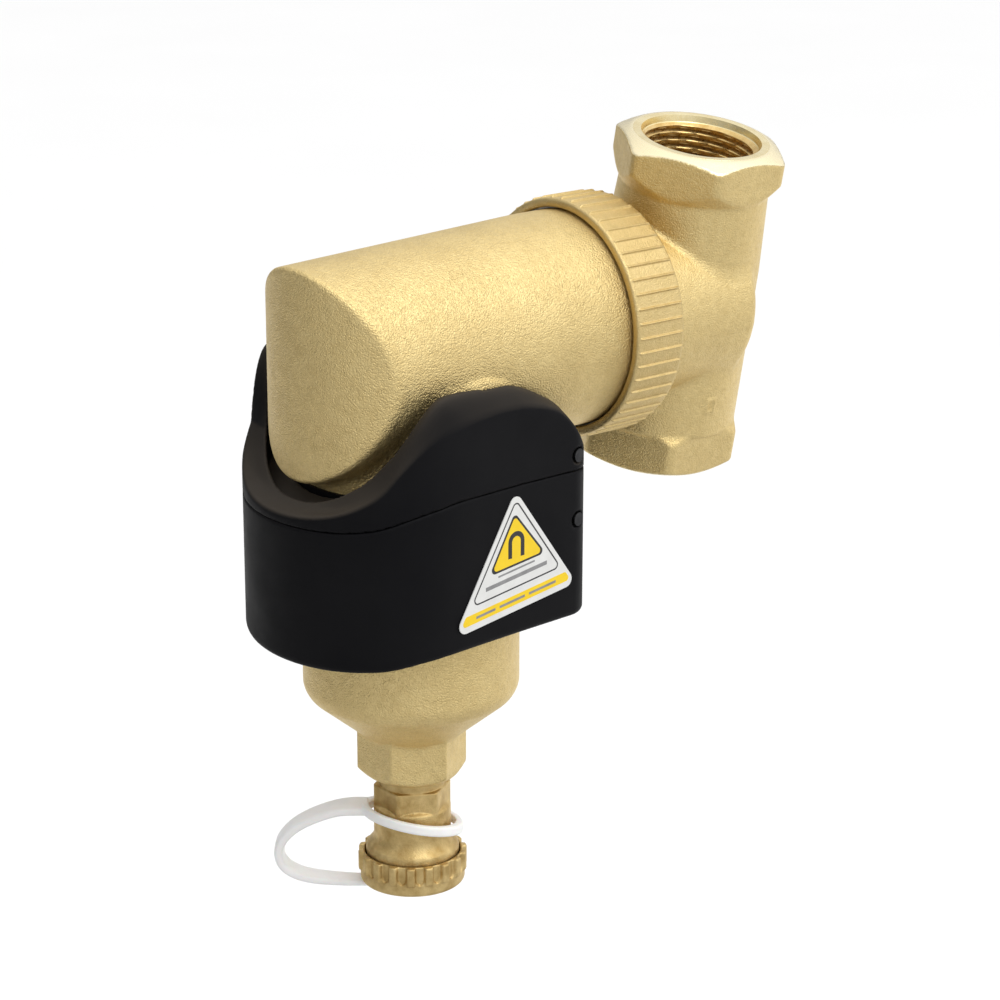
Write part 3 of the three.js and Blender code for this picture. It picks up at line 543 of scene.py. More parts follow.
def plan_field(x, y):
    """The sleeve's outline seen from above."""
    side = np.abs(x)
    dx = FLANK_END[0] - FLANK_START[0]
    dy = FLANK_END[1] - FLANK_START[1]
    run = math.hypot(dx, dy)
    flank = ((side - FLANK_START[0]) * dy - (y - FLANK_START[1]) * dx) / run
    lobe = np.where(y < 0, length(x, y), side) - LOBE_R
    return common(common(flank, lobe, 9.0), y - REAR_Y, REAR_CORNER_R)


def screw_rooms(x, y, z, height):
    side = np.abs(x)
    c, s = math.cos(SCREW_FACING), math.sin(SCREW_FACING)
    corner = (FLANK_END[0] - REAR_CORNER_R + 0.25, REAR_Y - REAR_CORNER_R)
    out = (side - corner[0]) * c + (y - corner[1]) * s - REAR_CORNER_R
    across = -(side - corner[0]) * s + (y - corner[1]) * c
    return common(length(across, z - height) - 2.3, -1.9 - out)


def cover_field(x, y, z):
    plan = plan_field(x, y)
    share = np.clip(-plan / RIM_BEVEL, 0, 1)
    low, high = rim_outer(y), rim_inner(y)
    rim = low + (high - low) * np.sin(share * math.pi / 2) ** 1.15
    far = np.clip((-x - 22) / 12, 0, 1)
    rim = rim + np.maximum(far_rim(y) + 2.5 * share - rim, 0) * far * far * (3 - 2 * far)
    body = common(plan, (z - rim) * 0.8, 0.8)
    body = common(body, seam_height(y) - z, 0.35)
    arm = length(x, z) - arm_radius(y) - 0.8
    pocket = common(length(x, y) - POCKET_R, np.abs(x) - POCKET_HALF_WIDTH, 3)
    pocket = common(pocket, np.maximum(y, seam_height(y) + 1.8 - z), 1)
    body = minus(body, union(arm, pocket, 1.5), 0.9)
    body = minus(body, length(x, y) - SLEEVE_ROOM_R, 0.5)
    return minus(body, screw_rooms(x, y, z, SCREW_HEIGHTS[0]), 0.25)


def shell_field(x, y, z):
    plan = plan_field(x, y)
    floor = bottom_height(y)
    body = common(plan, floor - z, 2.2)
    body = common(body, z - seam_height(y) + SEAM_GAP, 0.35)
    hollow = common(plan + SHELL_WALL, floor + SHELL_FLOOR - z, 1.0)
    body = minus(body, hollow, 0.3)
    body = minus(body, length(x, y) - SLEEVE_ROOM_R, 0.4)
    return minus(body, screw_rooms(x, y, z, SCREW_HEIGHTS[1]), 0.25)


# --- Materials ----------

def add_node(tree, kind, output, inputs, **settings):
    """Adds a shader node, gives each input a value or a link, and returns one output."""
    node = tree.nodes.new("ShaderNode" + kind)
    for setting, value in settings.items():
        setattr(node, setting, value)
    for socket, value in inputs.items():
        if isinstance(value, bpy.types.NodeSocket):
            tree.links.new(value, node.inputs[socket])
        else:
            node.inputs[socket].default_value = value
    return node.outputs[output]


class Nodes:
    """A new material's node tree, with short calls for what the finishes below share."""

    def __init__(self, name, base, roughness, metallic=0.0, specular=0.5):
        self.material = bpy.data.materials.new(name)
        self.material.use_nodes = True
        self.tree = self.material.node_tree
        self.shader = self.tree.nodes["Principled BSDF"]
        plain = {"Base Color": (*base, 1), "Roughness": roughness, "Metallic": metallic,
                 "Specular IOR Level": specular}
        for socket, value in plain.items():
            self.shader.inputs[socket].default_value = value
        places = self.tree.nodes.new("ShaderNodeTexCoord")
        self.where = places.outputs["Object"]
        self.facing = places.outputs["Normal"]

    def add(self, kind, output, inputs, **settings):
        return add_node(self.tree, kind, output, inputs, **settings)

    def feed(self, socket, value):
        self.tree.links.new(value, self.shader.inputs[socket])

    def noise(self, size, detail=2.0, roughness=0.5, stretch=(1, 1, 1)):
        """Noise whose features are about size millimetres across."""
        scale = [s / (size * MM) for s in stretch]
        place = self.add("Mapping", "Vector", {"Scale": scale, "Vector": self.where})
        return self.add("TexNoise", "Fac", {"Scale": 1.0, "Detail": detail, "Roughness": roughness,
                                            "Vector": place})

    def cells(self, size):
        """Distance to scattered points about size millimetres apart."""
        return self.add("TexVoronoi", "Distance", {"Scale": 1 / (size * MM), "Vector": self.where})

    def spread(self, value, low, high, to_low=0, to_high=1):
        return self.add("MapRange", "Result", {"Value": value, "From Min": low, "From Max": high,
                                               "To Min": to_low, "To Max": to_high})

    def math(self, operation, a, b):
        return self.add("Math", "Value", {0: a, 1: b}, operation=operation)

    def dot(self, a, b):
        return self.add("VectorMath", "Value", {0: a, 1: b}, operation="DOT_PRODUCT")

    def tint(self, value, low, high):
        """Base colour that runs between two colours, or from an earlier tint, as value goes from 0 to 1."""
        low, high = [end if isinstance(end, bpy.types.NodeSocket) else (*end, 1) for end in (low, high)]
        colour = self.add("Mix", "Result", {"Factor": value, "A": low, "B": high}, data_type="RGBA")
        self.feed("Base Color", colour)
        return colour

    def mottle(self, noise, dark, light):
        """Base colour that wanders between two colours."""
        return self.tint(self.spread(noise, 0.3, 0.7), dark, light)

    def wear(self, noise, low, high):
        """Roughness that wanders between two values."""
        self.feed("Roughness", self.spread(noise, 0.3, 0.7, low, high))

    def relief(self, *layers):
        """Stacks bumps of (height value, depth in millimetres, strength)."""
        below = {}
        for height, depth, strength in layers:
            shape = {"Height": height, "Distance": depth * MM, "Strength": strength}
            normal = self.add("Bump", "Normal", {**shape, **below})
            below = {"Normal": normal}
        self.feed("Normal", normal)

    def cut_ends(self):
        """1 on the faces and chamfers at the two ends of the run, 0 elsewhere."""
        along = self.math("ABSOLUTE", self.dot(self.where, (math.sin(RUN_LEAN), 0, math.cos(RUN_LEAN))), 0)
        squared = self.math("SUBTRACT", self.dot(self.where, self.where), self.math("MULTIPLY", along, along))
        radius = self.math("SQRT", self.math("MAXIMUM", squared, 0.0), 0)
        cone = self.math("ADD", self.math("MULTIPLY", radius, math.sin(PORT_CHAMFER) / MM),
                         self.math("MULTIPLY", along, math.cos(PORT_CHAMFER) / MM))
        edge = PORT_FACE_R * math.sin(PORT_CHAMFER) + RUN_HALF * math.cos(PORT_CHAMFER)
        face = self.spread(along, (RUN_HALF - 0.25) * MM, (RUN_HALF - 0.12) * MM)
        return self.math("MAXIMUM", self.spread(cone, edge - 0.28, edge - 0.12), face)

def cast_brass(name="cast_brass", light=(0.87, 0.69, 0.335), dark=(0.66, 0.50, 0.222), grain=1.0,
               turned=False):
    """Sand cast and shot blasted brass: a fine pebbled skin with small pits and faint stains.

    With turned, the ends of the run and their chamfers are cut bright.
    """
    m = Nodes(name, light, 0.46, metallic=1.0)
    stain = m.noise(14, 3, 0.55)
    mottle = m.noise(2.2, 3, 0.6)
    speck = m.noise(0.42, 2, 0.6)
    blend = m.math("ADD", m.math("MULTIPLY", stain, 0.25), m.math("MULTIPLY", mottle, 0.3))
    blend = m.math("ADD", blend, m.math("MULTIPLY", speck, 0.45))
    skin = m.tint(m.spread(blend, 0.34, 0.66), dark, light)
    roughness = m.spread(m.noise(1.6, 3, 0.6), 0.3, 0.7, 0.40, 0.54)
    waves, sand = m.noise(2.6, 3, 0.6), m.noise(0.68, 3, 0.65)
    pits = m.spread(m.cells(0.5), 0.0, 0.6)
    if turned:
        bright = m.cut_ends()
        m.tint(bright, skin, (0.95, 0.84, 0.56))
        roughness = m.math("SUBTRACT", roughness, m.math("MULTIPLY", bright, 0.2))
        left = m.math("SUBTRACT", 1.0, bright)
        waves, sand, pits = [m.math("MULTIPLY", value, left) for value in (waves, sand, pits)]
    m.feed("Roughness", roughness)
    m.relief((waves, 0.17 * grain, 0.6), (sand, 0.25 * grain, 1.0), (pits, 0.15 * grain, 0.9))
    return m.material


def finish(name, base, colours, gloss, patches, relief, metallic=1.0, detail=0.6, stretch=(1, 1, 1)):
    """Colour and roughness that wander between two values each, over a fine relief.

    patches are the sizes of the colour's, the roughness's and the relief's noise.
    """
    m = Nodes(name, base, sum(gloss) / 2, metallic)
    m.mottle(m.noise(patches[0], 3, detail, stretch), *colours)
    m.wear(m.noise(patches[1], 2, 0.5, stretch), *gloss)
    m.relief((m.noise(patches[2], 2, 0.5, stretch), *relief))
    return m


def drain_brass():
    """Hot pressed brass of the drain valve: coarser, darker and duller than the castings."""
    m = Nodes("drain_brass", (0.62, 0.45, 0.19), 0.5, metallic=1.0)
    m.tint(m.spread(m.noise(4, 4, 0.65), 0.32, 0.66), (0.47, 0.32, 0.12), (0.72, 0.55, 0.26))
    m.wear(m.noise(1.0, 3, 0.6), 0.42, 0.58)
    m.relief((m.noise(0.9, 3, 0.6), 0.13, 0.9), (m.cells(0.42), 0.07, 0.8))
    return m.material


def black_plastic(name="black_plastic", painted_top_sheen=False):
    """Fine spark-eroded black plastic with faint rubs; with the flag set, its upward faces get a painted
    brownish sheen of the light from above.
    """
    m = Nodes(name, (0.006, 0.006, 0.007), 0.6, specular=0.11)
    dust = m.spread(m.noise(0.9, 5, 0.7), 0.70, 0.78)
    haze = m.spread(m.noise(26, 3, 0.5), 0.3, 0.7, 0, 0.35)
    skin = m.tint(m.math("MAXIMUM", m.math("MULTIPLY", dust, 0.5), haze), (0.0022, 0.0022, 0.0032),
                  (0.009, 0.0088, 0.0095))
    if painted_top_sheen:
        # Painted sheen: faces that look up are tinted a paler brown grey, standing in for light from above.
        upward = m.dot(m.facing, (0.0, 0.0, 1.0))
        m.tint(m.spread(upward, 0.2, 0.8), skin, (0.042, 0.035, 0.028))
    m.wear(m.noise(14, 4, 0.6), 0.52, 0.64)
    m.relief((m.noise(0.45, 2, 0.5), 0.012, 0.5), (m.noise(7, 2, 0.5), 0.05, 0.25))
    m.shader.inputs["Sheen Weight"].default_value = 0.012
    m.shader.inputs["Sheen Roughness"].default_value = 0.4
    m.shader.inputs["Sheen Tint"].default_value = (0.9, 0.8, 0.7, 1)
    return m.material


def white_strap():
    """Soft moulded plastic, very slightly translucent."""
    m = finish("white_strap", (0.93, 0.93, 0.92), ((0.89, 0.89, 0.88), (0.95, 0.95, 0.94)), (0.36, 0.48),
               (6, 2, 0.6), (0.012, 0.3), 0.0, 0.5)
    m.shader.inputs["Subsurface Weight"].default_value = 0.12
    m.shader.inputs["Subsurface Scale"].default_value = 0.002
    return m.material


def printed(name, base, dark):
    """Ink or film of a printed label, with a faint orange peel."""
    return finish(name, base, (dark, base), (0.29, 0.40), (4, 3, 1.1), (0.006, 0.3), 0.0, 0.5).material


def plain_metal(name, base, dark, roughness, stretch=(1, 1, 1)):
    return finish(name, base, (dark, base), (roughness - 0.06, roughness + 0.08), (3, 0.8, 0.5), (0.01, 0.4),
                  stretch=stretch).material


def dull_moulding(name, base, dark, roughness):
    return finish(name, base, (dark, base), (roughness - 0.08, roughness + 0.06), (3, 1.5, 0.5), (0.015, 0.4),
                  0.0).material


CAST = cast_brass()
CAST_TEE = cast_brass("tee_brass", grain=0.7, turned=True)
CAST_FINE = cast_brass("nut_brass", (0.77, 0.60, 0.295), (0.62, 0.47, 0.205), 0.6)
# Turned brass with fine cutter marks, and cut threads coloured darker and browner as painted shade inside the
# bore.
MACHINED = finish("machined_brass", (0.90, 0.74, 0.42), ((0.84, 0.69, 0.36), (0.94, 0.82, 0.50)),
                  (0.17, 0.28), (5, 1.2, 0.35), (0.01, 0.35)).material
THREAD = finish("thread_brass_painted_shade", (0.72, 0.52, 0.22), ((0.60, 0.40, 0.14), (0.80, 0.60, 0.28)),
                (0.24, 0.38), (3, 0.8, 0.5), (0.012, 0.4)).material
DRAIN = drain_brass()
BLACK = black_plastic()
# The cover's black carries a painted sheen on its upward faces.
BLACK_RIM = black_plastic("black_plastic_rim", painted_top_sheen=True)
STRAP = white_strap()
# Screw heads coloured near black, as dark as the recesses they sit in.
DARK_STEEL = plain_metal("near_black_steel", (0.05, 0.05, 0.052), (0.03, 0.03, 0.032), 0.42)
STEEL = plain_metal("plated_steel", (0.62, 0.61, 0.58), (0.46, 0.45, 0.43), 0.34)
NICKEL = plain_metal("nickel_coat", (0.66, 0.65, 0.62), (0.55, 0.54, 0.52), 0.24)
COPPER = plain_metal("wound_copper", (0.80, 0.42, 0.24), (0.55, 0.27, 0.14), 0.36, (1, 1, 6))
RUBBER = dull_moulding("black_rubber", (0.022, 0.022, 0.022), (0.012, 0.012, 0.012), 0.62)
INSERT = dull_moulding("dark_insert", (0.04, 0.04, 0.042), (0.025, 0.025, 0.026), 0.5)


def dress(piece, material, body, slot, *replaced):
    """Gives a new piece its material and its body, and hides the CAD nodes it stands for; slot is not used.
    """
    piece.data.materials.clear()
    piece.data.materials.append(material)
    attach(piece, body)
    if replaced:
        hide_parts(*replaced)
    return piece


# --- Tee ----------

dress(field_mesh("tee_casting", tee_field, (-31.5, -39.5, -48.5), (31.5, 25, 48.5), 0.65, at_run),
      CAST_TEE, "pipe_tee", "cast_brass", "tee_body")


def port_profile(angle, upward):
    """The threaded lining of a port and its bright face, as a closed loop at one angle."""
    lining = []
    low, mouth = RUN_HALF - THREAD_DEPTH, RUN_HALF + 0.03
    for z in np.linspace(low, mouth - 0.02, 118):
        turn = (z / THREAD_PITCH - upward * angle / (2 * math.pi)) % 1.0
        tooth = np.clip((abs(2 * turn - 1) - THREAD_FLAT) / (1 - 2 * THREAD_FLAT), 0, 1)
        fade = np.clip((z - low) / 2.0, 0, 1)
        thread = THREAD_CREST_R + (THREAD_ROOT_R - THREAD_CREST_R) * tooth * fade
        depth = mouth - z
        lead = LEAD_R - LEAD_SLOPES[0] * depth - LEAD_SLOPES[1] * max(depth - LEAD_DEPTH, 0)
        lining.append((max(thread, lead), z))
    rim, back = PORT_FACE_R - 0.62, PORT_ROOM_R - 0.02
    return lining + [(LEAD_R + 0.12, mouth), (rim - 0.13, mouth), (rim, mouth - 0.12), (rim, mouth - 0.75),
                     (back, mouth - 0.75), (back, low)]


def port_lining(name, upward):
    angles = around(180)
    loops = [port_profile(angle, upward) for angle in angles]
    return ring_mesh(name, angles, loops, lambda p: at_run(p * (1, upward, upward)))


for side, upward in (("upper", 1), ("lower", -1)):
    lining = port_lining(f"{side}_port_thread", upward)
    dress(lining, THREAD, "pipe_tee", "cast_brass")
    lining.data.materials.append(MACHINED)
    # Faces near the mouth take the bright turned brass; the threads deeper in keep the darker thread brass,
    # painted shade of the bore.
    for face in lining.data.polygons:
        along = abs(face.center.x * math.sin(RUN_LEAN) + face.center.z * math.cos(RUN_LEAN)) / MM
        face.material_index = int(along > RUN_HALF - LEAD_DEPTH)
    lining.data.set_sharp_from_angle(angle=math.radians(38))


# --- Housing, drain valve and cap ----------

dress(field_mesh("housing_casting", housing_field, (-31, -39, -123.5), (31, 58, 31), 0.7, at_arm),
      CAST, "housing", "cast_brass", "housing_body")
dress(field_mesh("drain_valve", valve_field, (-14, -14, -151), (14, 14, -123), 0.35, at_arm),
      DRAIN, "housing", "drain_brass", "drain_valve_body")
dress(field_mesh("ribbed_cap", cap_field, (-16, -16, -155), (16, 16, -145.5), 0.31, at_arm),
      DRAIN, "cap", "drain_brass", "drain_cap")


# --- Union nut ----------

def nut_outline(rib):
    """The nut's section at one angle; rib is how far the angle stands in a rib, 0 to 1."""
    front, rise = NUT_FRONT, NUT_RIB_HEIGHT * rib
    ends = [(NUT_LIP_R, front + 0.5), (NUT_LIP_R + 0.45, front + 0.05), (NUT_R - 0.95, front),
            (NUT_R - 0.5, front + 0.08), (NUT_R - 0.15, front + 0.35), (NUT_R, front + 0.75),
            (NUT_R + 0.1 * rib, front + 0.85), (NUT_R + 0.62 * rise, front + 1.05),
            (NUT_R + 0.92 * rise, front + 1.4), (NUT_R + rise, front + 1.9)]
    rear = [(NUT_R + rise, y) for y in np.linspace(front + 4, NUT_REAR - 1.4, 9)]
    rear += [(NUT_R + 0.8 * rise, NUT_REAR - 0.6), (NUT_R - 0.1, NUT_REAR - 0.15), (NUT_R - 0.5, NUT_REAR),
             (NUT_BORE_R + 0.6, NUT_REAR), (NUT_BORE_R, NUT_REAR - 0.6)]
    room = [(NUT_BORE_R, front + 2.1), (NUT_BORE_R - 0.1, front + 1.72), (NUT_LIP_R + 0.2, front + 1.7),
            (NUT_LIP_R, front + 1.5)]
    return ends + rear + room


def at_nut(points):
    """Turns the nut's axis from Z to Y."""
    x, y, z = points.T
    return np.stack([x, z, -y], axis=1)


# One rib from its middle to halfway to the next, as [share of the spacing, share of the height].
RIB_SECTION = [(0, 1), (0.02, 0.97), (0.04, 0.88), (0.055, 0.7), (0.07, 0.45), (0.085, 0.2), (0.105, 0.05),
               (0.14, 0), (0.32, 0), (0.5, 0)]
rib_steps = RIB_SECTION + [(1 - share, rise) for share, rise in RIB_SECTION[-2:0:-1]]
nut_angles = [2 * math.pi * (i + share) / NUT_RIBS for i in range(NUT_RIBS) for share, _ in rib_steps]
nut_loops = [nut_outline(rise) for _ in range(NUT_RIBS) for _, rise in rib_steps]
dress(ring_mesh("ribbed_nut", nut_angles, nut_loops, at_nut), CAST_FINE, "ring_nut", "cast_brass",
      "union_ring_nut")


# --- Strap and rivet ----------

def at_strap(points):
    """From the strap's own upright plane, X out along the loop, to the row frame."""
    c, s = math.cos(STRAP_DIRECTION), math.sin(STRAP_DIRECTION)
    x, y, z = points.T
    return at_arm(np.stack([c * x - s * y, s * x + c * y, z], axis=1))


def catmull(points, steps):
    """Points along a smooth curve through the given ones."""
    points = np.asarray(points, float)
    ends = np.vstack([2 * points[0] - points[1], points, 2 * points[-1] - points[-2]])
    run = []
    for i in range(len(points) - 1):
        a, b, c, d = ends[i:i + 4]
        for t in np.arange(steps) / steps:
            run.append(0.5 * (2 * b + (c - a) * t + (2 * a - 5 * b + 4 * c - d) * t * t
                              + (3 * b - a - 3 * c + d) * t ** 3))
    return np.array(run + [points[-1]])


def pill(half_width, half_thickness, sides=20):
    """A flat rounded section."""
    def flattened(value):
        return np.sign(value) * abs(value) ** 0.5
    return [(half_width * flattened(math.cos(a)), half_thickness * flattened(math.sin(a)))
            for a in around(sides)]


def strap_loop():
    path = catmull(LOOP_POINTS, 8)
    heads = np.gradient(path, axis=0)
    heads /= np.linalg.norm(heads, axis=1)[:, None]
    travel = np.concatenate([[0], np.cumsum(np.linalg.norm(np.diff(path, axis=0), axis=1))])
    share = travel / travel[-1]
    half_widths = np.interp(share, LOOP_SHARES, LOOP_HALF_WIDTHS)
    half_depths = np.interp(share, LOOP_SHARES, LOOP_HALF_DEPTHS)
    sections = [pill(*sizes) for sizes in zip(half_widths, half_depths)]
    points = [(x - up * b, a, z + out * b)
              for (x, z), (out, up), section in zip(path, heads, sections) for a, b in section]
    rows, count = len(path), len(sections[0])
    return mesh_object("strap", points, row_faces(rows, count, rows - 1) + cap_faces(rows, count))


def rounded_band(inner, outer, low, high, edge):
    """A closed loop of [radius, height] round a band's section, with rounded corners."""
    near, far, under, over = inner + edge, outer - edge, low + edge, high - edge
    corners = [(far, under, -90), (far, over, 0), (near, over, 90), (near, under, 180)]
    return [(r + edge * math.cos(math.radians(start + turn)), z + edge * math.sin(math.radians(start + turn)))
            for r, z, start in corners for turn in (0, 22.5, 45, 67.5, 90)]


def tilted(points):
    """Tilts the neck ring as it hangs on the valve."""
    x, y, z = points.T
    return np.stack([x, y, z + NECK_RING_Z + NECK_RING_SLOPES[0] * x + NECK_RING_SLOPES[1] * y], axis=1)


def one_piece(name, parts, voxel, smoothing):
    """Melts overlapping closed meshes into one smooth moulded piece."""
    shape = bmesh.new()
    for part in parts:
        shape.from_mesh(part.data)
        bpy.data.objects.remove(part)
    mesh = bpy.data.meshes.new(name)
    shape.to_mesh(mesh)
    shape.free()
    piece = bpy.data.objects.new(name, mesh)
    bpy.context.scene.collection.objects.link(piece)
    remesh = piece.modifiers.new("join", "REMESH")
    remesh.mode = "VOXEL"
    remesh.voxel_size = voxel * MM
    smooth = piece.modifiers.new("soften", "SMOOTH")
    smooth.factor = 0.5
    smooth.iterations = smoothing
    made = bpy.data.meshes.new_from_object(piece.evaluated_get(bpy.context.evaluated_depsgraph_get()))
    piece.modifiers.clear()
    piece.data = made
    made.shade_smooth()
    return piece


neck_band = rounded_band(NECK_RING_BORE_R, NECK_RING_R, -1.5, 1.5, 0.6)
neck_ring = ring_mesh("neck_ring", around(96), [neck_band] * 96, tilted)
cap_band = rounded_band(RIVET_HOLE_R, CAP_RING_R, CAP_RING_TOP - 1.5, CAP_RING_TOP, 0.35)
cap_ring = ring_mesh("cap_ring", around(64), [cap_band] * 64)
strap = one_piece("retaining_strap", [strap_loop(), neck_ring, cap_ring], 0.26, 6)
strap_points = np.empty(len(strap.data.vertices) * 3)
strap.data.vertices.foreach_get("co", strap_points)
placed = at_strap(strap_points.reshape(-1, 3) / MM) * MM
strap.data.vertices.foreach_set("co", placed.ravel())
strap.data.update()
strap.data.materials.clear()
strap.data.materials.append(STRAP)
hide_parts("strap_neck_ring", "strap_loop", "strap_cap_ring")
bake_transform(strap)

RIVET_PROFILE = [(0, -158.2), (2.4, -158.15), (3.7, -157.85), (4.5, -157.4), (4.8, -157.0), (4.72, -156.83),
                 (4.5, -156.8), (2.0, -156.78), (2.0, -153.6), (1.8, -153.4), (0, -153.4)]
dress(solid_of_turn("rivet", RIVET_PROFILE, 48, at_arm), STRAP, "cap", "strap_white", "strap_rivet")


# --- Magnet sleeve ----------

dress(field_mesh("sleeve_cover", cover_field, (-38, -46, -41), (38, 38, 3), 0.61, at_arm),
      BLACK_RIM, "sleeve", "black_plastic", "sleeve_upper_cover")
dress(field_mesh("sleeve_shell", shell_field, (-38, -46, -79.5), (38, 38, -31), 0.6, at_arm),
      BLACK, "sleeve", "black_plastic", "sleeve_lower_shell")


# --- Label: thin closed films on the flat flank, laid out by [y, z] ----------

def flank_points(outline, lift):
    """Points at one lift off the flank."""
    dx, dy = FLANK_END[0] - FLANK_START[0], FLANK_END[1] - FLANK_START[1]
    run = math.hypot(dx, dy)
    outward = (dy / run, -dx / run)
    return [(FLANK_START[0] + dx * (y - FLANK_START[1]) / dy + outward[0] * lift, y + outward[1] * lift, z)
            for y, z in outline]


def film(name, outline, low, high, material, *replaced):
    """A closed film between two lifts off the flank."""
    faces = cap_faces(2, len(outline)) + row_faces(2, len(outline), 1)
    lay(name, [(outline, low), (outline, high)], faces, material, *replaced)


def lay(name, sides, faces, material, *replaced):
    """Lays a crisp piece on the flank, through one outline and lift after another."""
    points = [point for outline, lift in sides for point in flank_points(outline, lift)]
    piece = face_outwards(crisp(mesh_object(name, points, faces, at_arm)))
    dress(piece, material, "sleeve", "label_film", *replaced)


def corner_rays(corners):
    """For each corner of a polygon: its place, unit vectors to its neighbours and half its angle."""
    corners = [np.array(c, float) for c in corners]
    for i, corner in enumerate(corners):
        before = corners[i - 1] - corner
        after = corners[(i + 1) % len(corners)] - corner
        before /= np.linalg.norm(before)
        after /= np.linalg.norm(after)
        yield corner, before, after, math.acos(before @ after) / 2


def inset(corner, before, after, half, gap):
    """The point inside a corner that lies gap away from both of its sides."""
    return corner + (before + after) / np.linalg.norm(before + after) * gap / math.sin(half)


def shrunk(corners, gap):
    """A polygon with its sides moved in by gap."""
    return [inset(*rays, gap) for rays in corner_rays(corners)]


def rounded(corners, radius, steps=7):
    """A polygon with round corners."""
    outline = []
    for corner, before, after, half in corner_rays(corners):
        centre = inset(corner, before, after, half, radius)
        start = corner + before * radius / math.tan(half) - centre
        end = corner + after * radius / math.tan(half) - centre
        a0, a1 = math.atan2(start[1], start[0]), math.atan2(end[1], end[0])
        turn = (a1 - a0 + math.pi) % (2 * math.pi) - math.pi
        bend = [a0 + turn * t / steps for t in range(steps + 1)]
        outline += [tuple(centre + radius * np.array([math.cos(a), math.sin(a)])) for a in bend]
    return outline


def frame_film(name, outer, inner, low, high, material):
    """A closed frame between two outlines with as many points each."""
    sides = [(outer, low), (outer, high), (inner, high), (inner, low)]
    lay(name, sides, row_faces(4, len(outer), 4), material)


WHITE_INK = printed("label_white", (0.80, 0.80, 0.78), (0.74, 0.74, 0.72))
DARK_INK = printed("label_dark", (0.03, 0.03, 0.032), (0.02, 0.02, 0.022))
YELLOW_INK = printed("label_yellow", (0.95, 0.66, 0.01), (0.90, 0.61, 0.008))
GREY_INK = printed("label_grey", (0.30, 0.30, 0.30), (0.22, 0.22, 0.22))
INK = 0.03
FILM_FOOT, FILM_TOP = 0.06, 0.3
INK_1, INK_2, INK_3 = FILM_TOP + INK, FILM_TOP + 2 * INK, FILM_TOP + 3 * INK
film("label_sheet", rounded(LABEL_CORNERS, LABEL_CORNER_R), FILM_FOOT, FILM_TOP, WHITE_INK, "sleeve_label")


def down_sides(corners, drop):
    """The two points at one share of the way down a triangle's left and right sides."""
    apex, left, right = [np.array(corner, float) for corner in corners]
    return apex + (left - apex) * drop, apex + (right - apex) * drop


border_corners = [LABEL_CORNERS[0], *down_sides(LABEL_CORNERS, BORDER_DROP)]
border_edges = [rounded(shrunk(border_corners, gap), radius) for gap, radius in ((1.3, 1.4), (1.7, 1.0))]
frame_film("label_border", *border_edges, FILM_TOP, INK_1, DARK_INK)
film("label_sign_border", rounded(shrunk(SIGN_CORNERS, -SIGN_BORDER), 1.2), FILM_TOP, INK_1, DARK_INK)
film("label_sign", rounded(SIGN_CORNERS, SIGN_CORNER_R), INK_1, INK_2, YELLOW_INK)


def arch(centre, inner, outer, leg):
    """A plain arch with two straight legs, standing upright."""
    y, z = centre
    bend = np.linspace(0, math.pi, 15)
    out = [(y + outer * math.cos(a), z + outer * math.sin(a)) for a in bend]
    back = [(y + inner * math.cos(a), z + inner * math.sin(a)) for a in bend[::-1]]
    foot = z - leg
    return [(y + outer, foot), *out, (y - outer, foot), (y - inner, foot), *back, (y + inner, foot)]


film("label_arch", arch(ARCH_CENTRE, *ARCH_RADII, ARCH_LEG), INK_2, INK_3, DARK_INK)


def bar(name, start, run, low_share, high_share, half_height, low, high):
    """A plain printed bar between two shares of the run that begins at start."""
    a, b = start + run * low_share, start + run * high_share
    rise = np.array([0, half_height])
    film(name, [tuple(a - rise), tuple(b - rise), tuple(b + rise), tuple(a + rise)], low, high, GREY_INK)


for row, (drop, *bar_sizes) in enumerate(LABEL_LINES):
    left, right = down_sides(shrunk(LABEL_CORNERS, 3.0), drop)
    bar(f"label_line_{row + 1}", left, right - left, *bar_sizes, FILM_TOP, INK_1)

band_high, band_low = [down_sides(shrunk(LABEL_CORNERS, 1.0), drop) for drop in BAND_DROPS]
film("label_band", rounded([band_high[1], band_high[0], *band_low], 0.9), FILM_TOP, INK_1, YELLOW_INK)
marks_left = (band_high[0] + band_low[0]) / 2
marks_run = (band_high[1] + band_low[1]) / 2 - marks_left
for mark, shares in enumerate(BAND_MARKS):
    bar(f"label_mark_{mark + 1}", marks_left, marks_run, *shares, BAND_MARK_HALF, INK_1, INK_2)


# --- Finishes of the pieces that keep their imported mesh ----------

KEPT = {
    "flow_divider": INSERT, "flow_tube": INSERT, "separator_core": INSERT, "sleeve_liner": BLACK,
    "nut_slip_washer": STEEL, "arm_retaining_clip": STEEL, "keeper_plate": STEEL, "separator_coil": COPPER,
    "union_o_ring": RUBBER, "valve_seat_seal": RUBBER, "cap_gasket": RUBBER, "valve_spindle": MACHINED,
}
KEPT.update({f"field_booster_rod_{i}": STEEL for i in (1, 2, 3, 4)})
KEPT.update({f"magnet_{i}": NICKEL for i in (1, 2, 3, 4, 5, 6)})
KEPT.update({f"{half}_screw_{side}": DARK_STEEL for half in ("cover", "shell") for side in ("left", "right")})

for node, material in KEPT.items():
    kept_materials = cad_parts[node].data.materials
    kept_materials.clear()
    kept_materials.append(material)


# --- Floor, light and camera ----------

SQUARE = [(-1, -1), (1, -1), (1, 1), (-1, 1)]


